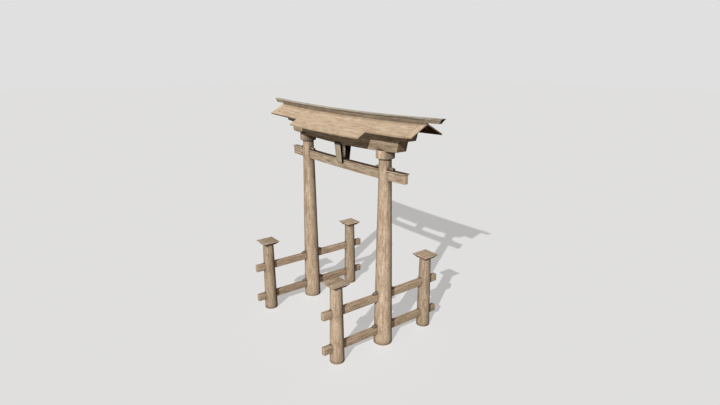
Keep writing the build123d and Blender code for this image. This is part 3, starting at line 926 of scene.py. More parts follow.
@dataclass
class Workshop:
    """Eases arrises, opens checks, lays the grain and sets each finished timber in the frame."""

    seed: int = 11  # Starts the random numbers
    log_length: float = 60.0  # How far apart along their logs two timbers may start
    wander_length: float = 90.0  # How far apart in the noise of their wander two timbers may start
    cutter_seeds: float = 50.0  # The seed of a cutter is drawn from 0 up to this
    arris_angle: float = 28.0  # Least angle in degrees between two faces whose arris is eased
    sharp_angle: float = 24.0  # Least angle in degrees between two faces that stay sharp in the light
    # How much darker some timbers are than others of their wood
    tones: dict[str, float] = field(
        default_factory=lambda: {
            "left_pillar": 0.1, "left_pillar_ring": 0.44,
            "left_front_post": 0.22, "left_rear_post": 0.27,
            "right_front_post": 0.03, "right_rear_post": 0.22,
            "left_front_post_cap": 0.15, "right_front_post_cap": 0.13,
            "left_lower_rail": 0.2, "left_upper_rail": 0.08, "right_lower_rail": 0.08,
        }
    )
    # The material of each finish that is in use
    materials: dict[str, bpy.types.Material] = field(default_factory=dict)

    def __post_init__(self) -> None:
        """Starts the random numbers, and the noise that wander takes, which else follows the clock."""
        self.random = random.Random(self.seed)
        noise.seed_set(self.seed)

    def wood(self, finish: WoodFinish) -> bpy.types.Material:
        """The material of a finish, made once."""
        if finish.name not in self.materials:
            self.materials[finish.name] = finish.material()
        return self.materials[finish.name]

    def ease(self, piece: bpy.types.Object, arris: float, segments: int = 2) -> None:
        """Rounds a piece's arrises, marks them as worn and makes the piece a plain mesh.

        Args:
            piece: The piece, with its modifiers.
            arris: Width of the rounding.
            segments: Facets in the rounding.
        """
        piece.data.materials.clear()
        slots = 3
        for _ in range(slots):
            piece.data.materials.append(None)
        bevel = piece.modifiers.new("eased arris", "BEVEL")
        bevel.width = arris
        bevel.segments = segments
        bevel.limit_method = "ANGLE"
        bevel.angle_limit = math.radians(self.arris_angle)
        bevel.material = slots - 1
        make_plain(piece)
        faces = piece.data.polygons
        mark_faces(piece.data, WORN, [float(face.material_index == slots - 1) for face in faces])
        faces.foreach_set("material_index", [0] * len(faces))

    def cut(self, piece: bpy.types.Object, cutters: Sequence[Cutter]) -> None:
        """Takes cutters out of a piece."""
        shell = bmesh.new()
        for cutter in cutters:
            skin(shell, cutter.rows(self.random.uniform(0, self.cutter_seeds)))
        tool = finished(shell, "cutters")
        boolean = piece.modifiers.new("cutters", "BOOLEAN")
        boolean.operation = "DIFFERENCE"
        boolean.solver = "EXACT"
        boolean.object = tool
        make_plain(piece)
        mesh = tool.data
        bpy.data.objects.remove(tool)
        bpy.data.meshes.remove(mesh)

    def wander(self, piece: bpy.types.Object, amount: float) -> None:
        """Moves the points of a straight timber a little, as planing by hand leaves it."""
        start = Vector((self.random.uniform(0, self.wander_length), 0, 0))
        for vertex in piece.data.vertices:
            vertex.co += noise.noise_vector(vertex.co * PLANE_WAVES + start) * amount

    def aside(self, reach: float) -> float:
        """A random distance either way, no further than a reach."""
        return self.random.uniform(-reach, reach)

    def log(self, axis: Axis, pith: Sequence[float], bend: float = math.inf) -> Log:
        """A log of its own for one timber."""
        return Log(axis, tuple(pith), self.random.uniform(0, self.log_length), bend)

    def place(
        self,
        piece: bpy.types.Object,
        node: str,
        finish: WoodFinish,
        log: Log | None = None,
        black: Callable[[Vector, Vector], float] | None = None,
    ) -> None:
        """Lays the grain, gives the wood and sets a piece in place of its CAD node.

        Args:
            piece: The finished piece.
            node: The CAD node that it stands for.
            finish: The wood.
            log: The log that it was cut from, or None where the grain is already laid.
            black: How black a face is painted, mostly as shade and partly as stain, told from the way that it
                points and where it is.
        """
        mesh = piece.data
        if log:
            log.lay(mesh)
        if black:
            # Faces painted black: mostly painted shade, some stain
            mark_faces(mesh, BLACK, [black(face.normal, face.center) for face in mesh.polygons])
        if node in self.tones:
            mark_faces(mesh, TONE, [self.tones[node]] * len(mesh.polygons))
        mesh.materials.clear()
        mesh.materials.append(self.wood(finish))
        mesh.polygons.foreach_set("material_index", [0] * len(mesh.polygons))
        mesh.polygons.foreach_set("use_smooth", [True] * len(mesh.polygons))
        mesh.set_sharp_from_angle(angle=math.radians(self.sharp_angle))
        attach(piece, ROOT)
        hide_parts(node)
        LOGGER.info("%s stands for %s: %d faces", piece.name, node, len(mesh.polygons))


@dataclass(frozen=True)
class Wedge:
    """A wedge driven in between a pillar and the timber that passes through it."""

    tip_height: float  # Height at its tip, inside the pillar
    face_height: float  # Height where it leaves the pillar
    end_height: float  # Height at its outer end
    projection: float  # How far it stands out of the pillar
    arris: float = 0.003  # Rounding of its arrises
    end_black: float = 0.0  # How black damp has made its ends
    pith_aside: float = 0.05  # Distance of the log's pith from its side
    pith_below: float = 0.06  # Distance of the log's pith from its underside

    def build(self, shop: Workshop, node: str, axis: Axis, out: int, seat: Callable[[float], float]) -> None:
        """Builds one wedge.

        Args:
            shop: Where it is finished.
            node: The CAD node that it stands for.
            axis: The way that the timber under it runs.
            out: 1 where it stands out up the axis, -1 where it stands out down it.
            seat: Height of the timber's top at a place along the axis.
        """
        low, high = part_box(node)
        along, across = (0, 1) if axis is Axis.X else (1, 0)
        tip, head = (low[along], high[along]) if out > 0 else (high[along], low[along])
        points = (
            (tip, seat(tip)),
            (head, seat(head)),
            (head, seat(head) + self.end_height),
            (head - out * self.projection, seat(tip) + self.face_height),
            (tip, seat(tip) + self.tip_height),
        )
        outline = []
        for place, z in points:
            corner = Vector((low.x, low.y, z))
            corner[along] = place
            outline.append(corner)
        run, pith = Vector((0, 0, 0)), Vector((0, 0, low.z - self.pith_below))
        run[across] = high[across] - low[across]
        pith[across] = low[across] - self.pith_aside
        piece = prism(f"{node}_split", outline, run, 1)
        shop.ease(piece, self.arris)
        shop.place(piece, node, WEDGE_WOOD, shop.log(axis, pith), self.damp)

    def damp(self, out: Vector, at: Vector) -> float:
        """How black damp has made a face: the tie's wedges are at their ends."""
        return self.end_black * float(abs(out.x) > ENDWAYS)


@dataclass
class Legs:
    """The two tapered main pillars and the four short side posts."""

    pillar_head_radius: float = 0.1455  # Radius of a pillar under its ring
    pillar_shoulder: float = 4.51  # Height of a pillar under its ring
    post_head_radius: float = 0.142  # Radius of a post under its cap
    post_top: float = 1.853  # Height of a post under its cap
    hewing: float = 0.008  # Depth of the waves left by the plane
    arris: float = 0.008  # Rounding of the foot and the head
    sides: int = 72  # Points round a leg
    pitch: float = 0.07  # Distance between the rings of points up a leg
    # Stretches of a pillar that are clear of joints and may be split
    pillar_spans: tuple[tuple[float, float], ...] = ((0.52, 1.1), (1.5, 2.7), (2.4, 3.9))
    # Stretches of a post that are clear of joints and may be split
    post_spans: tuple[tuple[float, float], ...] = ((0.5, 1.1), (1.36, 1.8))
    splits_each: int = 2  # Drying checks in each stretch
    split_widths_mm: tuple[float, float] = (2.0, 5.0)  # Least and greatest half width of those checks
    shown_split_mm: float = 4.0
    shown_splits: dict[str, tuple[tuple[float, float, float], ...]] = field(
        default_factory=lambda: {
            "right_pillar": ((-54.0, 4.29, 4.49), (-4.0, 4.27, 4.46), (-30.0, 1.9, 2.9)),
            "left_pillar": ((-20.0, 4.3, 4.49), (-70.0, 2.0, 3.1)),
        }
    )
    # Height and bearing in degrees of the knot holes that show
    knots: dict[str, tuple[tuple[float, float], ...]] = field(
        default_factory=lambda: {
            "left_rear_post": ((0.70, 12.0),),
            "right_rear_post": ((0.75, -30.0), (0.61, 34.0)),
            "right_front_post": ((0.66, 70.0),),
            "left_pillar": ((2.1, 160.0), (3.3, 40.0)),
            "right_pillar": ((2.9, -150.0),),
        }
    )
    lee_damp: float = 0.5  # How black the painted shade makes the lee side of a pillar's head
    damp_from: float = 3.2  # Height from which that painted shade shows
    lee_from: float = -0.75  # How far a face points back where the lee starts
    lee_span: float = 0.55  # How much further it points back where the lee is full

    def build(self, shop: Workshop) -> None:
        """Builds every leg."""
        trunk = RoundTimber()
        pillar = (self.pillar_head_radius, self.pillar_shoulder, self.pillar_spans)
        post = (self.post_head_radius, self.post_top, self.post_spans)
        for side in Side:
            self.leg(shop, trunk, f"{side.label}_pillar", *pillar)
            for end in End:
                self.leg(shop, trunk, f"{side.label}_{end.label}_post", *post)

    def leg(
        self,
        shop: Workshop,
        trunk: RoundTimber,
        node: str,
        head_radius: float,
        height: float,
        spans: Sequence[tuple[float, float]],
    ) -> None:
        """Builds one leg.

        Args:
            shop: Where it is finished.
            trunk: The rule for round timbers.
            node: The CAD node that it stands for.
            head_radius: Radius at its head.
            height: Height of its head.
            spans: Stretches of its height that are clear of joints and may be split.
        """
        low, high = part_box(node)
        centre = (low + high) / 2
        base_radius = (high.x - low.x) / 2
        wave = self.hewing / 2
        sizes = {"Base Radius": base_radius - wave, "Head Radius": head_radius - wave, "Height": height}
        sizes |= {"Hewing": self.hewing, "Sides": self.sides, "Rings": round(height / self.pitch)}
        sizes |= {"Seed": shop.random.uniform(0, trunk.seeds), "Material": shop.wood(POST_WOOD)}
        piece = trunk.piece(f"{node}_trunk", sizes)
        shop.ease(piece, self.arris)
        for vertex in piece.data.vertices:
            vertex.co += Vector((centre.x, centre.y, 0))

        def surface(bearing: float, z: float) -> tuple[Vector, Vector]:
            """A place on the leg's side, and the way out from it."""
            out = Vector((math.cos(bearing), math.sin(bearing), 0))
            radius = base_radius + (head_radius - base_radius) * z / height - wave
            return Vector((centre.x, centre.y, z)) + out * radius, out

        cutters: list[Cutter] = []
        for bearing, bottom, top, width in self.splits(shop, node, spans):
            foot, out = surface(bearing, bottom)
            head, _ = surface(bearing, top)
            cutters.append(Check(foot, head, out, width * MM))
        for z, bearing in self.knots.get(node, ()):
            spot, out = surface(math.radians(bearing), z)
            cutters.append(KnotHole(spot, out, Vector((0, 0, 1))))
        shop.cut(piece, cutters)
        log = shop.log(Axis.Z, (centre.x, centre.y, 0))
        shop.place(piece, node, POST_WOOD, log, self.damp)

    def splits(
        self, shop: Workshop, node: str, spans: Sequence[tuple[float, float]]
    ) -> list[tuple[float, float, float, float]]:
        """Chooses the drying checks of one leg.

        Args:
            shop: Gives the random numbers.
            node: The leg's CAD node.
            spans: Stretches of its height that may be split.

        Returns:
            Bearing, bottom, top and half width in millimetres of each.
        """
        shown = self.shown_splits.get(node, ())
        splits = [(math.radians(bearing), bottom, top, self.shown_split_mm) for bearing, bottom, top in shown]
        for span in spans:
            for _ in range(self.splits_each):
                bottom, top = sorted(shop.random.uniform(*span) for _ in range(2))
                bearing = shop.random.uniform(0, math.tau)
                splits.append((bearing, bottom, top, shop.random.uniform(*self.split_widths_mm)))
        return splits

    def damp(self, out: Vector, at: Vector) -> float:
        """How black a face is painted as shade: more the higher it is and the further it turns from the sun.
        """
        high = ramp(at.z, self.damp_from, self.pillar_shoulder - self.damp_from)
        return self.lee_damp * high * ramp(out.y, self.lee_from, self.lee_span)


@dataclass
class Rings:
    """The turned rings on the pillars' shoulders, under the lower lintel."""

    chamfer: float = 0.014  # Chamfer round the underside
    bore_radius: float = 0.1283  # Radius of the hole for the pillar's neck
    arris: float = 0.004  # Rounding of its arrises
    sides: int = 72  # Points round a ring
    lee_damp: float = 0.62  # How black the lee side of a ring is painted, as the lintel's shadow
    lee_from: float = 0.25  # How far a face points to the right where the lee starts
    lee_span: float = 0.625  # How much further it points to the right where the lee is full

    def build(self, shop: Workshop) -> None:
        """Builds both rings."""
        for side in Side:
            node = f"{side.label}_pillar_ring"
            low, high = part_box(node)
            centre = (low + high) / 2
            radius = (high.x - low.x) / 2
            profile = (
                (self.bore_radius, low.z),
                (radius - self.chamfer, low.z),
                (radius, low.z + self.chamfer),
                (radius, high.z),
                (self.bore_radius, high.z),
            )
            hoops = []
            for i in range(self.sides):
                turn = math.tau * i / self.sides
                out = Vector((math.cos(turn), math.sin(turn), 0))
                hoops.append([Vector((centre.x, centre.y, z)) + out * r for r, z in profile])
            piece = loft(f"{node}_turned", hoops, ring=True)
            shop.ease(piece, self.arris)
            log = shop.log(Axis.Z, (centre.x, centre.y, 0))
            shop.place(piece, node, RING_WOOD, log, self.damp)

    def damp(self, out: Vector, at: Vector) -> float:
        """How black a face is painted as the lintel's shadow: more the further it turns from the sun."""
        return self.lee_damp * ramp(out.x, self.lee_from, self.lee_span)


@dataclass
class PostCaps:
    """The square caps of the side posts: a neck, a soffit sloping out from it and a thin rim."""

    rim: float = 0.009  # Height of the rim
    soffit_side: float = 0.352  # Side of the soffit where it starts
    soffit_drop: float = 0.047  # Height of the soffit's slope
    soffit_black: float = 0.75  # How black the soffit is painted, as shade
    neck_side: float = 0.330  # Side of the neck
    arris: float = 0.0025  # Rounding of its arrises
    pith_reach: float = 0.1  # How far from a cap's middle its log's pith may lie
    pith_below: float = 0.2  # Distance of the log's pith from its underside

    def build(self, shop: Workshop) -> None:
        """Builds the four caps."""
        for side in Side:
            for end in End:
                self.cap(shop, f"{side.label}_{end.label}_post_cap")

    def cap(self, shop: Workshop, node: str) -> None:
        """Builds one cap."""
        low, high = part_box(node)
        centre = (low + high) / 2
        soffit = high.z - self.rim - self.soffit_drop
        levels = (
            (self.neck_side, low.z),
            (self.neck_side, soffit),
            (self.soffit_side, soffit),
            (high.x - low.x, high.z - self.rim),
            (high.x - low.x, high.z),
        )
        corners = ((-1, -1), (1, -1), (1, 1), (-1, 1))
        rows = []
        for size, z in levels:
            rows.append([Vector((centre.x + x * size / 2, centre.y + y * size / 2, z)) for x, y in corners])
        piece = loft(f"{node}_board", rows)
        shop.ease(piece, self.arris)
        aside = shop.aside(self.pith_reach)
        log = shop.log(Axis.Y, (centre.x + aside, centre.y, low.z - self.pith_below))
        shop.place(piece, node, CAP_WOOD, log, self.damp)

    def damp(self, out: Vector, at: Vector) -> float:
        """How black a face is painted as shade: the soffit and the neck's underside are."""
        return self.soffit_black * float(out.z < DOWNWARD)


@dataclass
class Rails:
    """The through rails that tie each pillar to its posts, and the wedges driven in over them."""

    arris: float = 0.005  # Rounding of a rail's arrises
    wander: float = 0.0012  # How far a rail's faces wander from true
    stations: int = 24  # How many lengths a rail is divided into
    # Nearest and furthest place of a drying check from the pillar's middle
    check_span: tuple[float, float] = (0.3, 1.1)
    check_margin: float = 0.04  # Least distance of a check from the rail's arrises
    check_slant: float = 0.01  # How far a check may run off the grain at each end
    check_widths_mm: tuple[float, float] = (1.5, 3.5)  # Least and greatest half width of a check
    check_depth_mm: float = 14.0  # Depth of a check
    pith_reach: float = 0.09  # How far from a rail's middle its log's pith may lie
    # Least and greatest distance of the log's pith from its underside
    pith_below: tuple[float, float] = (0.02, 0.1)
    # The wedges' sizes
    wedge: Wedge = Wedge(tip_height=0.034, face_height=0.062, end_height=0.036, projection=0.105)

    def build(self, shop: Workshop) -> None:
        """Builds the four rails and their eight wedges."""
        for side in Side:
            for level in ("lower", "upper"):
                self.rail(shop, f"{side.label}_{level}_rail")
                for end in End:
                    node = f"{side.label}_{level}_{end.label}_wedge"
                    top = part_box(node)[0].z
                    self.wedge.build(shop, node, Axis.Y, end.value, lambda y, top=top: top)

    def rail(self, shop: Workshop, node: str) -> None:
        """Builds one rail."""
        low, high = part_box(node)
        piece = squared(f"{node}_timber", node, Axis.Y, self.stations)
        shop.wander(piece, self.wander)
        shop.ease(piece, self.arris)
        draw = shop.random.uniform
        checks = []
        for x, out in ((low.x, Vector((-1, 0, 0))), (high.x, Vector((1, 0, 0)))):
            for bay in (-1, 1):
                ends = sorted(draw(*self.check_span) for _ in range(2))
                z = draw(low.z + self.check_margin, high.z - self.check_margin)
                spots = [Vector((x, bay * y, z + shop.aside(self.check_slant))) for y in ends]
                checks.append(Check(*spots, out, draw(*self.check_widths_mm) * MM, self.check_depth_mm * MM))
        shop.cut(piece, checks)
        aside = (low.x + high.x) / 2 + shop.aside(self.pith_reach)
        log = shop.log(Axis.Y, (aside, 0, low.z - draw(*self.pith_below)))
        shop.place(piece, node, RAIL_WOOD, log)


@dataclass
class Tie:
    """The tie beam, its cap board and wedges, and the strut and tablets in the middle."""

    bend: float = 82.0  # Radius of the tie's sweep
    low: float = 4.020  # Underside of the tie at its middle
    height: float = 0.202  # Depth of the tie
    cap_thickness: float = 0.026  # Thickness of its cap board
    arris: float = 0.005  # Rounding of its arrises
    cap_arris: float = 0.004  # Rounding of the cap board's arrises
    wander: float = 0.0012  # How far its faces wander from true
    pith_reach: float = 0.05  # How far from its middle its log's pith may lie
    pith_below: float = 0.11  # Distance of the log's pith from its underside
    waist_share: float = 0.93  # Where the painted shadow line under the cap starts, as a share of the tie's depth
    clear_half_width: float = 1.6  # Half the distance between the pillars' middles
    top_black: float = 0.87  # How black its top is painted as shade between the pillars
    tail_blacks: tuple[float, float] = (0.35, 0.75)  # How black its top is painted as shade past the left and the right pillar
    line_black: float = 0.45  # How black the painted shadow line under the cap is
    face_black: float = 0.1  # How black its other faces are, save past the right pillar
    # The wedges' sizes
    wedge: Wedge = Wedge(
        tip_height=0.036, face_height=0.071, end_height=0.056, projection=0.148, end_black=0.75
    )
    strut_stations: int = 6  # How many lengths the strut is divided into
    strut_pith: tuple[float, float, float] = (0.06, 0.08, 0.0)  # Where the pith of the strut's log lies
    tablet_foot_width: float = 0.226  # Width of a tablet at its foot
    tablet_head_width: float = 0.240  # Width of a tablet at its head
    tablet_thickness: float = 0.046  # Thickness of a tablet
    tablet_lean: float = 0.122  # How far a tablet leans out for its height
    tablet_hang: float = 0.049  # How far a tablet hangs down past the cap board
    tablet_lift: float = 0.025  # How far a tablet's head stands up over the lower lintel's underside
    tablet_gap: float = 0.0003  # Gap between a tablet and what it leans on
    tablet_arris: float = 0.0025  # Rounding of a tablet's arrises
    tablet_strip: float = 0.055  # Height of the strip of painted shadow at a tablet's head
    tablet_strip_black: float = 0.8  # How black that strip is
    tablet_pith_reach: float = 0.1  # How far from a tablet's middle its log's pith may lie
    tablet_pith_out: float = 0.25  # How far in front of the strut the pith lies

    def build(self, shop: Workshop, beam: SweptTimber) -> None:
        """Builds the tie beam and everything on it."""
        cap_low = self.low + self.height
        self.timber(shop, beam, "tie_beam_timber", self.low, self.height, self.arris, TIE_WOOD)
        self.timber(shop, beam, "tie_beam_cap_board", cap_low, self.cap_thickness, self.cap_arris, CAP_WOOD)
        for side in Side:
            for place, out in (("inner", -1), ("outer", 1)):
                node = f"{side.label}_{place}_tie_wedge"
                self.wedge.build(shop, node, Axis.X, side.value * out, self.cap_top)
        strut = squared("strut_timber", "strut", Axis.Z, self.strut_stations)
        shop.ease(strut, self.arris)
        shop.place(strut, "strut", STRUT_WOOD, shop.log(Axis.Z, self.strut_pith))
        for end in End:
            self.tablet(shop, f"{end.label}_tablet", end)

    def cap_top(self, x: float) -> float:
        """Height of the cap board's top at x."""
        return self.low + self.height + self.cap_thickness + rise(x, self.bend)

    def timber(
        self,
        shop: Workshop,
        beam: SweptTimber,
        name: str,
        low: float,
        height: float,
        arris: float,
        finish: WoodFinish,
    ) -> None:
        """Builds the beam or its cap board, whose top is painted black as shade.

        Args:
            shop: Where it is finished.
            beam: The rule for swept timbers.
            name: The piece's name, which starts with its CAD node's.
            low: Height of its underside at the middle.
            height: Its depth.
            arris: Rounding of its arrises.
            finish: The wood.
        """
        node = name.rpartition("_")[0]
        _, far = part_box(node)
        sizes = {"Half Length": far.x, "Half Width": far.y, "Waist Share": self.waist_share}
        sizes |= {"Low": low, "High": low + height, "Low Bend": self.bend, "High Bend": self.bend}
        sizes |= {"Wander": self.wander}
        piece = beam.timber(shop, name, sizes, finish)
        shop.ease(piece, arris)
        pith = (0, shop.aside(self.pith_reach), low - self.pith_below)
        shop.place(piece, node, finish, shop.log(Axis.X, pith, self.bend), self.damp)

    def damp(self, out: Vector, at: Vector) -> float:
        """How black a face is painted: the top as shade, most between the pillars, and a line under the cap
        as painted shadow.
        """
        # Painted shade on the top, and a painted shadow line under the cap
        if out.z > UPWARD:
            return self.top_black if abs(at.x) < self.clear_half_width else self.tail_blacks[at.x > 0]
        level = at.z - rise(at.x, self.bend) - self.low
        if self.height * self.waist_share < level < self.height and abs(out.y) > SQUARE_ON:
            return self.line_black
        return self.face_black * float(at.x < self.clear_half_width)

    def tablet(self, shop: Workshop, node: str, end: End) -> None:
        """Builds one leaning tablet, bare on its face and painted black behind as shade."""
        outline = self.tablet_outline()
        foot, strip, crown = (outline[i][1] for i in (0, 1, 3))
        rows = []
        for side in Side:
            row = []
            for out, z in outline:
                share = (z - foot) / (crown - foot)
                width = self.tablet_foot_width + (self.tablet_head_width - self.tablet_foot_width) * share
                row.append(Vector((side.value * width / 2, end.value * out, z)))
            rows.append(row)
        piece = loft(f"{node}_board", rows)
        shop.ease(piece, self.tablet_arris)
        aside = shop.aside(self.tablet_pith_reach)
        log = shop.log(Axis.Z, (aside, self.tablet_pith_out * end.value, 0))

        def damp(out: Vector, at: Vector) -> float:
            """How black a face is painted as shade: all but the front is, and a strip at its head as painted
            shadow.
            """
            return self.tablet_strip_black * float(at.z > strip) or float(out.y * end.value < ENDWAYS)

        shop.place(piece, node, TABLET_WOOD, log, damp)

    def tablet_outline(self) -> list[tuple[float, float]]:
        """Distance out and height of each corner of a tablet's side, up its face and down its back."""
        lintel_low, lintel_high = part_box("lower_lintel")
        cap_low = self.low + self.height
        cap_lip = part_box("tie_beam_cap")[1].y + self.tablet_gap
        foot, head = cap_low - self.tablet_hang, lintel_low.z + self.tablet_lift
        seat, rebate = lintel_low.z - self.tablet_gap, lintel_high.y + self.tablet_gap
        angle = math.atan(self.tablet_lean)
        thick_out, thick_up = self.tablet_thickness * math.cos(angle), self.tablet_thickness * math.sin(angle)

        def back(z: float) -> float:
            """Distance of the back from the middle of the gate."""
            return cap_lip + self.tablet_lean * (z - cap_low)

        def face(z: float) -> float:
            """Distance of the face from the middle of the gate."""
            return back(z) + self.tablet_thickness / math.cos(angle)

        return [
            (face(foot), foot),
            (face(head - self.tablet_strip), head - self.tablet_strip),
            (face(head), head),
            (rebate, head + self.tablet_lean * (face(head) - rebate)),
            (rebate, seat),
            (back(seat), seat),
            (face(foot) - thick_out, foot + thick_up),
        ]


@dataclass(frozen=True)
class RoofLine:
    """The line of the roof, which the upper lintel, the slopes and the ridge all follow."""

    apex: float = 5.336  # Height where the slopes meet at the middle
    bend: float = 80.0  # Radius of the sweep
    fall: float = 0.5613  # Fall of a slope for its width
    thickness: float = 0.028  # Thickness of the boards
    # Height between the upper lintel and the boards at the apex, where the ridge pole lies
    pole_room: float = 0.046

    @property
    def plumb(self) -> float:
        """Thickness of the boards measured straight down."""
        return self.thickness * math.hypot(1, self.fall)

    @property
    def pole_low(self) -> float:
        """Top of the upper lintel at its middle, where the ridge pole lies."""
        return self.apex - self.plumb - self.pole_room


@dataclass
class Lintels:
    """The lower and the upper lintel, both swept up and splayed at their ends."""

    line: RoofLine = RoofLine()  # The line of the roof, which the top follows
    bend: float = 28.0  # Radius of the lintels' sweep
    splay: float = 0.26  # Length gained at each end for its height
    low: float = 4.6325  # Underside of the lower lintel at its middle
    middle: float = 4.870  # Top of the lower lintel at its middle
    lower_half_length: float = 2.112  # Half the length of the lower lintel at its underside
    upper_half_length: float = 2.395  # Half the length of the upper lintel at its underside
    arris: float = 0.006  # Rounding of their arrises
    wander: float = 0.0015  # How far their faces wander from true
    pith_reach: float = 0.06  # How far from a lintel's middle its log's pith may lie
    pith_up: float = 0.08  # Height of the log's pith over its underside
    sunned_from: float = 1.2  # Where the right ends begin, whose colour is painted darker to offset the sun that falls on them
    sunned_black: float = 0.1  # How much darker the right ends are painted

    def build(self, shop: Workshop, beam: SweptTimber) -> None:
        """Builds both lintels, the lower with a flat top and the upper bevelled to the roof."""
        lower = {"Half Length": self.lower_half_length, "Half Width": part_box("lower_lintel")[1].y}
        lower |= {"Low": self.low, "High": self.middle, "High Bend": self.bend}
        self.lintel(shop, beam, "lower_lintel", lower)
        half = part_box("upper_lintel")[1].y
        flat = self.line.pole_room / self.line.fall
        upper = {"Half Length": self.upper_half_length, "Half Width": half, "Shoulder Half Width": flat}
        upper |= {"Low": self.middle, "High": self.line.pole_low, "High Bend": self.line.bend}
        self.lintel(shop, beam, "upper_lintel", upper | {"Shoulder Drop": (half - flat) * self.line.fall})

    def lintel(self, shop: Workshop, beam: SweptTimber, node: str, sizes: dict[str, float]) -> None:
        """Builds one lintel.

        Args:
            shop: Where it is finished.
            beam: The rule for swept timbers.
            node: The CAD node that it stands for.
            sizes: The sizes that differ between the two.
        """
        shared = {"Splay": self.splay, "Low Bend": self.bend, "Wander": self.wander}
        piece = beam.timber(shop, f"{node}_timber", shared | sizes, LINTEL_WOOD)
        shop.ease(piece, self.arris)
        pith = (0, shop.aside(self.pith_reach), sizes["Low"] + self.pith_up)
        shop.place(piece, node, LINTEL_WOOD, shop.log(Axis.X, pith, self.bend), self.weathered)

    def weathered(self, out: Vector, at: Vector) -> float:
        """How dark a face is painted: the right ends are, to offset the sun that falls on them."""
        return self.sunned_black * float(at.x > self.sunned_from)


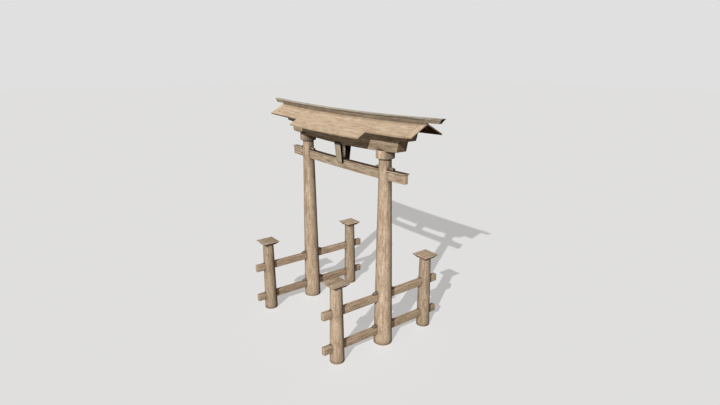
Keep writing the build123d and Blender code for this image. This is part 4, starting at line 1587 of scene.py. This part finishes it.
@dataclass
class Roof:
    """The two boarded slopes, with a wider eave in the middle and a board down each verge."""

    line: RoofLine = RoofLine()  # The line of the roof
    half_length: float = 2.841  # Half the roof's length
    reach: float = 0.425  # Width of a slope, seen from above
    middle_half_length: float = 1.430  # Half the length of the wider middle
    middle_reach: float = 0.638  # Width of the middle, seen from above
    verge_width: float = 0.170  # Width of the board down each verge
    middle_verge_width: float = 0.05  # Width of the board down each end of the wider middle
    verge_gap: float = 0.005  # Gap beside a verge board
    verge_rows: int = 6  # How many lengths a verge board is divided into
    verge_pith_aside: float = 0.1  # How far from a verge board's edge its log's pith may lie
    verge_pith_below: float = 0.5  # Distance of that pith from the apex
    courses: int = 4  # Courses of boards on a slope
    middle_courses: int = 2  # Courses of boards on the wider part of the middle
    boards: int = 3  # Boards in the first course, and one more in every other
    middle_boards: int = 2  # Boards in the first course of the wider part, and one less in the next
    stations: int = 24  # Points along a board
    arris: float = 0.0018  # Rounding of the boards' arrises
    gap: float = 0.0012  # Gap between boards
    course_tones: tuple[float, float] = (0.03, 0.10)  # How much darker a course may be than the verge boards
    # Painted shade on the roof under the ridge: how much darker it is at its left and at its right end
    ridge_tones: tuple[float, float] = (0.10, 0.32)
    edge_tone: float = 0.32  # How much darker the boards' edges at the eave and the verges are, partly stain and partly painted shade
    lee_tone: float = 0.72  # How much darker the eave's edge is on the left wing, with more painted shade
    soffit_black: float = 0.9  # How black the underside is painted, as shade

    def build(self, shop: Workshop) -> None:
        """Builds both slopes."""
        course = BoardCourse()
        for end in End:
            self.slope(shop, course, f"{end.label}_roof_slope", end)

    def rows(self) -> list[tuple[float, float, float, int]]:
        """Start, width, half length and number of boards of each course, from the apex down."""
        width = self.reach / self.courses
        inside = self.half_length - self.verge_width
        rows = [(i * width, width, inside, self.boards + i % 2) for i in range(self.courses)]
        width = (self.middle_reach - self.reach) / self.middle_courses
        inside = self.middle_half_length - self.middle_verge_width
        for i in range(self.middle_courses):
            rows.append((self.reach + i * width, width, inside, self.middle_boards - i % 2))
        return rows

    def slope(self, shop: Workshop, course: BoardCourse, node: str, end: End) -> None:
        """Builds one slope, course by course.

        Args:
            shop: Where it is finished.
            course: The rule for a course of boards.
            node: The CAD node that it stands for.
            end: The side that it falls to.
        """
        line = self.line
        shared = {"Thickness": line.plumb, "Apex": line.apex, "Fall": line.fall, "Bend": line.bend}
        shared |= {"Hand": end.value, "Arris": self.arris, "Gap": self.gap, "Stations": self.stations}
        shared |= {"Material": shop.wood(ROOF_WOOD)}
        strips = []
        for start, width, half_length, boards in self.rows():
            sizes = {"Half Length": half_length, "Start": start, "Width": width, "Boards": boards}
            sizes |= {"Seed": shop.random.uniform(0, course.seeds)}
            strip = course.piece(f"{node}_course", shared | sizes)
            make_plain(strip)
            sawn_ends(strip.data, Axis.X)
            tone = shop.random.uniform(*self.course_tones) if start else 0.0
            mark_faces(strip.data, TONE, [tone] * len(strip.data.polygons))
            strips.append(strip)
        wing = ((0.0, self.reach), (self.half_length, self.verge_width))
        middle = ((self.reach, self.middle_reach), (self.middle_half_length, self.middle_verge_width))
        for side in Side:
            strips += [self.verge(shop, end, side, span, edge) for span, edge in (wing, middle)]
        whole = bmesh.new()
        for strip in strips:
            whole.from_mesh(strip.data)
            bpy.data.objects.remove(strip)
        piece = finished(whole, f"{node}_boards")
        self.shade(piece.data, end)
        # The underside is painted black as shade
        shop.place(piece, node, ROOF_WOOD, None, lambda out, at: self.soffit_black * float(out.z < DOWNWARD))

    def shade(self, mesh: bpy.types.Mesh, end: End) -> None:
        """Darkens the boards' edges, partly as painted shade, and paints shade on the roof under the ridge.
        """
        left, right = self.ridge_tones
        tones = mesh.attributes[TONE].data
        for face in mesh.polygons:
            if face.normal.y * end.value > SQUARE_ON:
                lee = face.center.x < -self.middle_half_length
                tones[face.index].value = self.lee_tone if lee else self.edge_tone
            elif abs(face.normal.x) > SQUARE_ON:
                tones[face.index].value = self.edge_tone
            elif abs(face.center.y) < self.reach / self.courses:
                tones[face.index].value = left + (right - left) * (0.5 + face.center.x / self.half_length / 2)

    def verge(
        self, shop: Workshop, end: End, side: Side, span: tuple[float, float], edge: tuple[float, float]
    ) -> bpy.types.Object:
        """Builds the board down one verge, its grain running down the slope.

        Args:
            shop: Where it is eased.
            end: The side that the slope falls to.
            side: The end of the roof that it closes.
            span: Where it starts and stops, out from the apex.
            edge: Half the length of the roof there, and the board's width.

        Returns:
            The board, with its grain laid.
        """
        line = self.line
        half_length, width = edge
        edges = [side.value * x for x in (half_length - width + self.verge_gap, half_length)]
        rows = []
        for i in range(self.verge_rows + 1):
            out = span[0] + (span[1] - span[0]) * i / self.verge_rows
            corners = [(x, line.apex + rise(x, line.bend) - line.fall * out) for x in edges]
            corners += [(x, z - line.plumb) for x, z in reversed(corners)]
            rows.append([Vector((x, end.value * out, z)) for x, z in corners])
        board = loft("verge", rows)
        shop.ease(board, self.arris, 1)
        aside = shop.random.uniform(0, self.verge_pith_aside)
        shop.log(Axis.Y, (edges[0] + aside, 0, line.apex - self.verge_pith_below)).lay(board.data)
        return board


@dataclass
class Ridge:
    """The ridge pole inside the apex, the ridge base astride it and the cap on top."""

    line: RoofLine = RoofLine()  # The line of the roof
    pole_depth: float = 0.0455  # Depth of the pole
    pole_half_width: float = 0.032  # Half the width of the pole
    pole_flat_share: float = 0.025  # Width of the flat left on the pole's top, as a share of its own width
    base_half_width: float = 0.040  # Half the width of the base
    base_low: float = 5.342  # Underside of the base's tails
    base_top: float = 5.392  # Top of the base at its middle
    base_low_half_length: float = 3.185  # Half the length of the base at the tails' underside
    saddle_half_length: float = 2.833  # Half the length of the part astride the roof
    top: float = 5.441  # Top of the cap at its middle
    cap_low_half_length: float = 3.230  # Half the length of the cap at its underside
    cap_splay: float = 0.043  # Length gained at each end over the cap's height
    cap_half_width: float = 0.058  # Half the width of the cap
    lip: float = 0.026  # Height of the cap's lip
    arris: float = 0.004  # Rounding of the arrises
    wander: float = 0.0008  # How far the faces wander from true
    overrun: float = 0.1  # How far a cut runs past what it cuts
    pith_reach: float = 0.04  # How far from the middle a log's pith may lie
    pith_below: float = 0.07  # Distance of a log's pith from its timber's underside
    end_black: float = 0.9  # How black the ends are painted, as shade
    # How black the base's sides are painted as shade, over the roof and on its tails
    base_blacks: tuple[float, float] = (0.6, 0.48)
    # How black the underside of the cap's lip is painted as shade, over the roof and on its tails
    soffit_blacks: tuple[float, float] = (0.6, 0.2)
    lip_black: float = 0.42  # How grey the lip is at the middle
    lip_black_gain: float = 0.05  # How much greyer it is for each metre to the right

    def build(self, shop: Workshop, beam: SweptTimber) -> None:
        """Builds the pole, the base and the cap."""
        low = self.line.pole_low
        half = self.pole_half_width
        pole = {"Half Length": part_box("ridge_pole")[1].x, "Half Width": half}
        pole |= {"Shoulder Half Width": half * self.pole_flat_share, "Shoulder Drop": half * self.line.fall}
        self.timber(shop, beam, "ridge_pole", pole, (low, low + self.pole_depth))

        half = self.base_half_width
        foot = self.line.apex - self.line.fall * half
        splay = (self.cap_low_half_length - self.base_low_half_length) / (self.base_top - self.base_low)
        base = {"Half Length": self.base_low_half_length - splay * (self.base_low - foot), "Splay": splay}
        base |= {"Half Width": half}
        self.timber(shop, beam, "ridge_base", base, (foot, self.base_top), [self.tail(side) for side in Side])

        height = self.top - self.base_top
        cap = {"Half Length": self.cap_low_half_length, "Splay": self.cap_splay / height}
        cap |= {"Half Width": self.cap_half_width, "Foot Half Width": half, "Shoulder Half Width": half / 3}
        cap |= {"Waist Share": 1 - self.lip / height}
        self.timber(shop, beam, "ridge_cap", cap, (self.base_top, self.top))

    def tail(self, side: Side) -> Notch:
        """What is sawn off under one tail of the base, past the roof's verge."""
        wide = 2 * self.base_half_width
        outlines = []
        for x in (self.saddle_half_length, self.cap_low_half_length + self.overrun):
            top = self.base_low + rise(x, self.line.bend)
            bottom = top - self.overrun
            corners = ((-wide, bottom), (wide, bottom), (wide, top), (-wide, top))
            outlines.append(tuple(Vector((side.value * x, y, z)) for y, z in corners))
        return Notch(tuple(outlines))

    def timber(
        self,
        shop: Workshop,
        beam: SweptTimber,
        node: str,
        sizes: dict[str, float],
        levels: tuple[float, float],
        cutters: Sequence[Cutter] = (),
    ) -> None:
        """Builds one timber of the ridge, its ends painted dark as shade.

        Args:
            shop: Where it is finished.
            beam: The rule for swept timbers.
            node: The CAD node that it stands for.
            sizes: Its own sizes.
            levels: Heights of its underside and its top at the middle.
            cutters: What is sawn out of it.
        """
        low, high = levels
        bend = self.line.bend
        shared = {"Low": low, "High": high, "Low Bend": bend, "High Bend": bend, "Wander": self.wander}
        finish, black = (SILVER_WOOD, self.exposed) if node == "ridge_cap" else (RIDGE_WOOD, self.sheltered)
        piece = beam.timber(shop, f"{node}_timber", shared | sizes, finish)
        shop.ease(piece, self.arris)
        if cutters:
            shop.cut(piece, cutters)
        pith = (0, shop.aside(self.pith_reach), low - self.pith_below)
        shop.place(piece, node, finish, shop.log(Axis.X, pith, bend), black)

    def sheltered(self, out: Vector, at: Vector) -> float:
        """How black a face of the base is painted as shade: its sides are dim over the roof and its ends
        almost black.
        """
        if abs(out.x) > ENDWAYS:
            return self.end_black
        return self.base_blacks[abs(at.x) >= self.saddle_half_length]

    def exposed(self, out: Vector, at: Vector) -> float:
        """How black a face of the cap is painted: its ends and its soffit as shade, and its lip greyer to the
        right.
        """
        if abs(out.x) > ENDWAYS:
            return self.end_black
        if out.z < UNDERCUT:
            return self.soffit_blacks[abs(at.x) >= self.saddle_half_length]
        return self.lip_black + self.lip_black_gain * at.x if abs(out.y) > SQUARE_ON else 0.0


@dataclass(frozen=True)
class Lamp:
    """A far lamp."""

    name: str  # Its name
    azimuth: float  # Its bearing, from the front towards the right
    elevation: float  # Height of its bearing
    strength: float  # Its strength
    colour: str = "#ffffff"  # Its sRGB hex colour
    shadow: bool = True  # Whether it throws shadows
    angle: float = 0.6  # Its size, which sets how soft shadows are

    def build(self) -> None:
        """Builds the lamp."""
        light = bpy.data.lights.new(self.name, "SUN")
        light.energy = self.strength
        light.angle = math.radians(self.angle)
        light.color = linear(self.colour)[:3]
        light.use_shadow = self.shadow
        lamp = bpy.data.objects.new(self.name, light)
        lamp.rotation_euler = towards(self.azimuth, self.elevation).to_track_quat("Z", "Y").to_euler()
        bpy.context.scene.collection.objects.link(lamp)


@dataclass
class Stage:
    """The plain pale floor, the light and the camera at the photograph's viewing angle."""

    target: tuple[float, float, float] = (0.3888, 0.2266, 3.1790)  # The point that the camera looks at
    distance: float = 12.067  # Distance of the camera from it
    azimuth: float = 52.8217  # Bearing of the camera, from the front towards the right
    elevation: float = 16.3311  # Height of the camera's bearing
    view_height: float = 45.0  # Vertical angle of view
    sun: Lamp = Lamp("sun", 31.05, 29.84, 3.4)  # The main lamp
    # The lamp beside the camera that fills the shade, a little warm as light back from the ground is
    fill: Lamp = Lamp("fill", 50.0, 14.0, 1.2, "#fff9f1", shadow=False)
    # The lamp behind the gate, straight across from the camera
    back: Lamp = Lamp("back", 232.0, 8.0, 2.6, "#fff9f1", shadow=False)
    sky_strength: float = 0.05  # Strength of the even sky
    floor_reach: float = 120.0  # Half the side of the floor
    pale: str = "#e0e0e0"  # Colour of the background
    floor_bounce: str = "#242424"  # Colour of the floor as other surfaces see it
    floor_share: float = 0.50  # How much of the light on the floor it shows
    floor_glow: float = 0.345  # What it shows besides, so that it matches the background

    def build(self) -> None:
        """Builds the camera, the lamps, the sky and the floor."""
        scene = bpy.context.scene
        scene.view_settings.view_transform = "Standard"
        lens = bpy.data.cameras.new("camera")
        lens.sensor_fit = "VERTICAL"
        lens.angle = math.radians(self.view_height)
        lens.clip_end = 4 * self.floor_reach
        camera = bpy.data.objects.new("camera", lens)
        stand = towards(self.azimuth, self.elevation)
        camera.location = Vector(self.target) + stand * self.distance
        camera.rotation_euler = stand.to_track_quat("Z", "Y").to_euler()
        scene.collection.objects.link(camera)
        scene.camera = camera
        for lamp in (self.sun, self.fill, self.back):
            lamp.build()
        self.sky(scene)
        self.floor()

    def seen(self, add: Adder) -> Socket:
        """Adds the nodes that tell what is seen, straight or mirrored, from what only gives light."""
        path = add("ShaderNodeLightPath")
        mirrored = {0: path["Is Glossy Ray"], 1: path["Is Transmission Ray"]}
        either = add(MATH, ADD, mirrored)[0]
        straight = {0: either, 1: path["Is Camera Ray"]}
        return add(MATH, {"operation": "ADD", "use_clamp": True}, straight)[0]

    def sky(self, scene: bpy.types.Scene) -> None:
        """Builds the even sky, pale where it is seen and dim as a light."""
        world = bpy.data.worlds.new("sky")
        add = emptied(world)
        white = {"Color": (1, 1, 1, 1), "Strength": self.sky_strength}
        light = add("ShaderNodeBackground", None, white)[0]
        shown = add("ShaderNodeBackground", None, {"Color": linear(self.pale), "Strength": 1.0})[0]
        both = add("ShaderNodeMixShader", None, {0: self.seen(add), 1: light, 2: shown})[0]
        add("ShaderNodeOutputWorld", None, {"Surface": both})
        scene.world = world

    def floor(self) -> None:
        """Builds the floor: it shows the pale ground with the gate's shadow and throws little light back."""
        mesh = bpy.data.meshes.new("floor")
        reach = self.floor_reach
        corners = [(-reach, -reach, 0), (reach, -reach, 0), (reach, reach, 0), (-reach, reach, 0)]
        mesh.from_pydata(corners, [], [(0, 1, 2, 3)])
        floor = new_piece("floor", mesh)
        material = bpy.data.materials.new("pale studio floor")
        add = emptied(material)
        share = self.floor_share
        matt = add("ShaderNodeBsdfDiffuse", None, {"Color": (share, share, share, 1)})[0]
        glow = add("ShaderNodeEmission", None, {"Strength": self.floor_glow})[0]
        shown = add("ShaderNodeAddShader", None, {0: matt, 1: glow})[0]
        bounce = add("ShaderNodeBsdfDiffuse", None, {"Color": linear(self.floor_bounce)})[0]
        both = add("ShaderNodeMixShader", None, {0: self.seen(add), 1: bounce, 2: shown})[0]
        add("ShaderNodeOutputMaterial", None, {"Surface": both})
        mesh.materials.append(material)


def main() -> None:
    """Builds the gate's sub-assemblies in order, then the stage."""
    logging.basicConfig(level=logging.INFO, format="%(name)s: %(message)s")
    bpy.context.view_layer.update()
    shop = Workshop()
    beam = SweptTimber()
    Legs().build(shop)
    Rings().build(shop)
    PostCaps().build(shop)
    Rails().build(shop)
    Tie().build(shop, beam)
    Lintels().build(shop, beam)
    Roof().build(shop)
    Ridge().build(shop, beam)
    Stage().build()


if __name__ == "__main__":
    main()
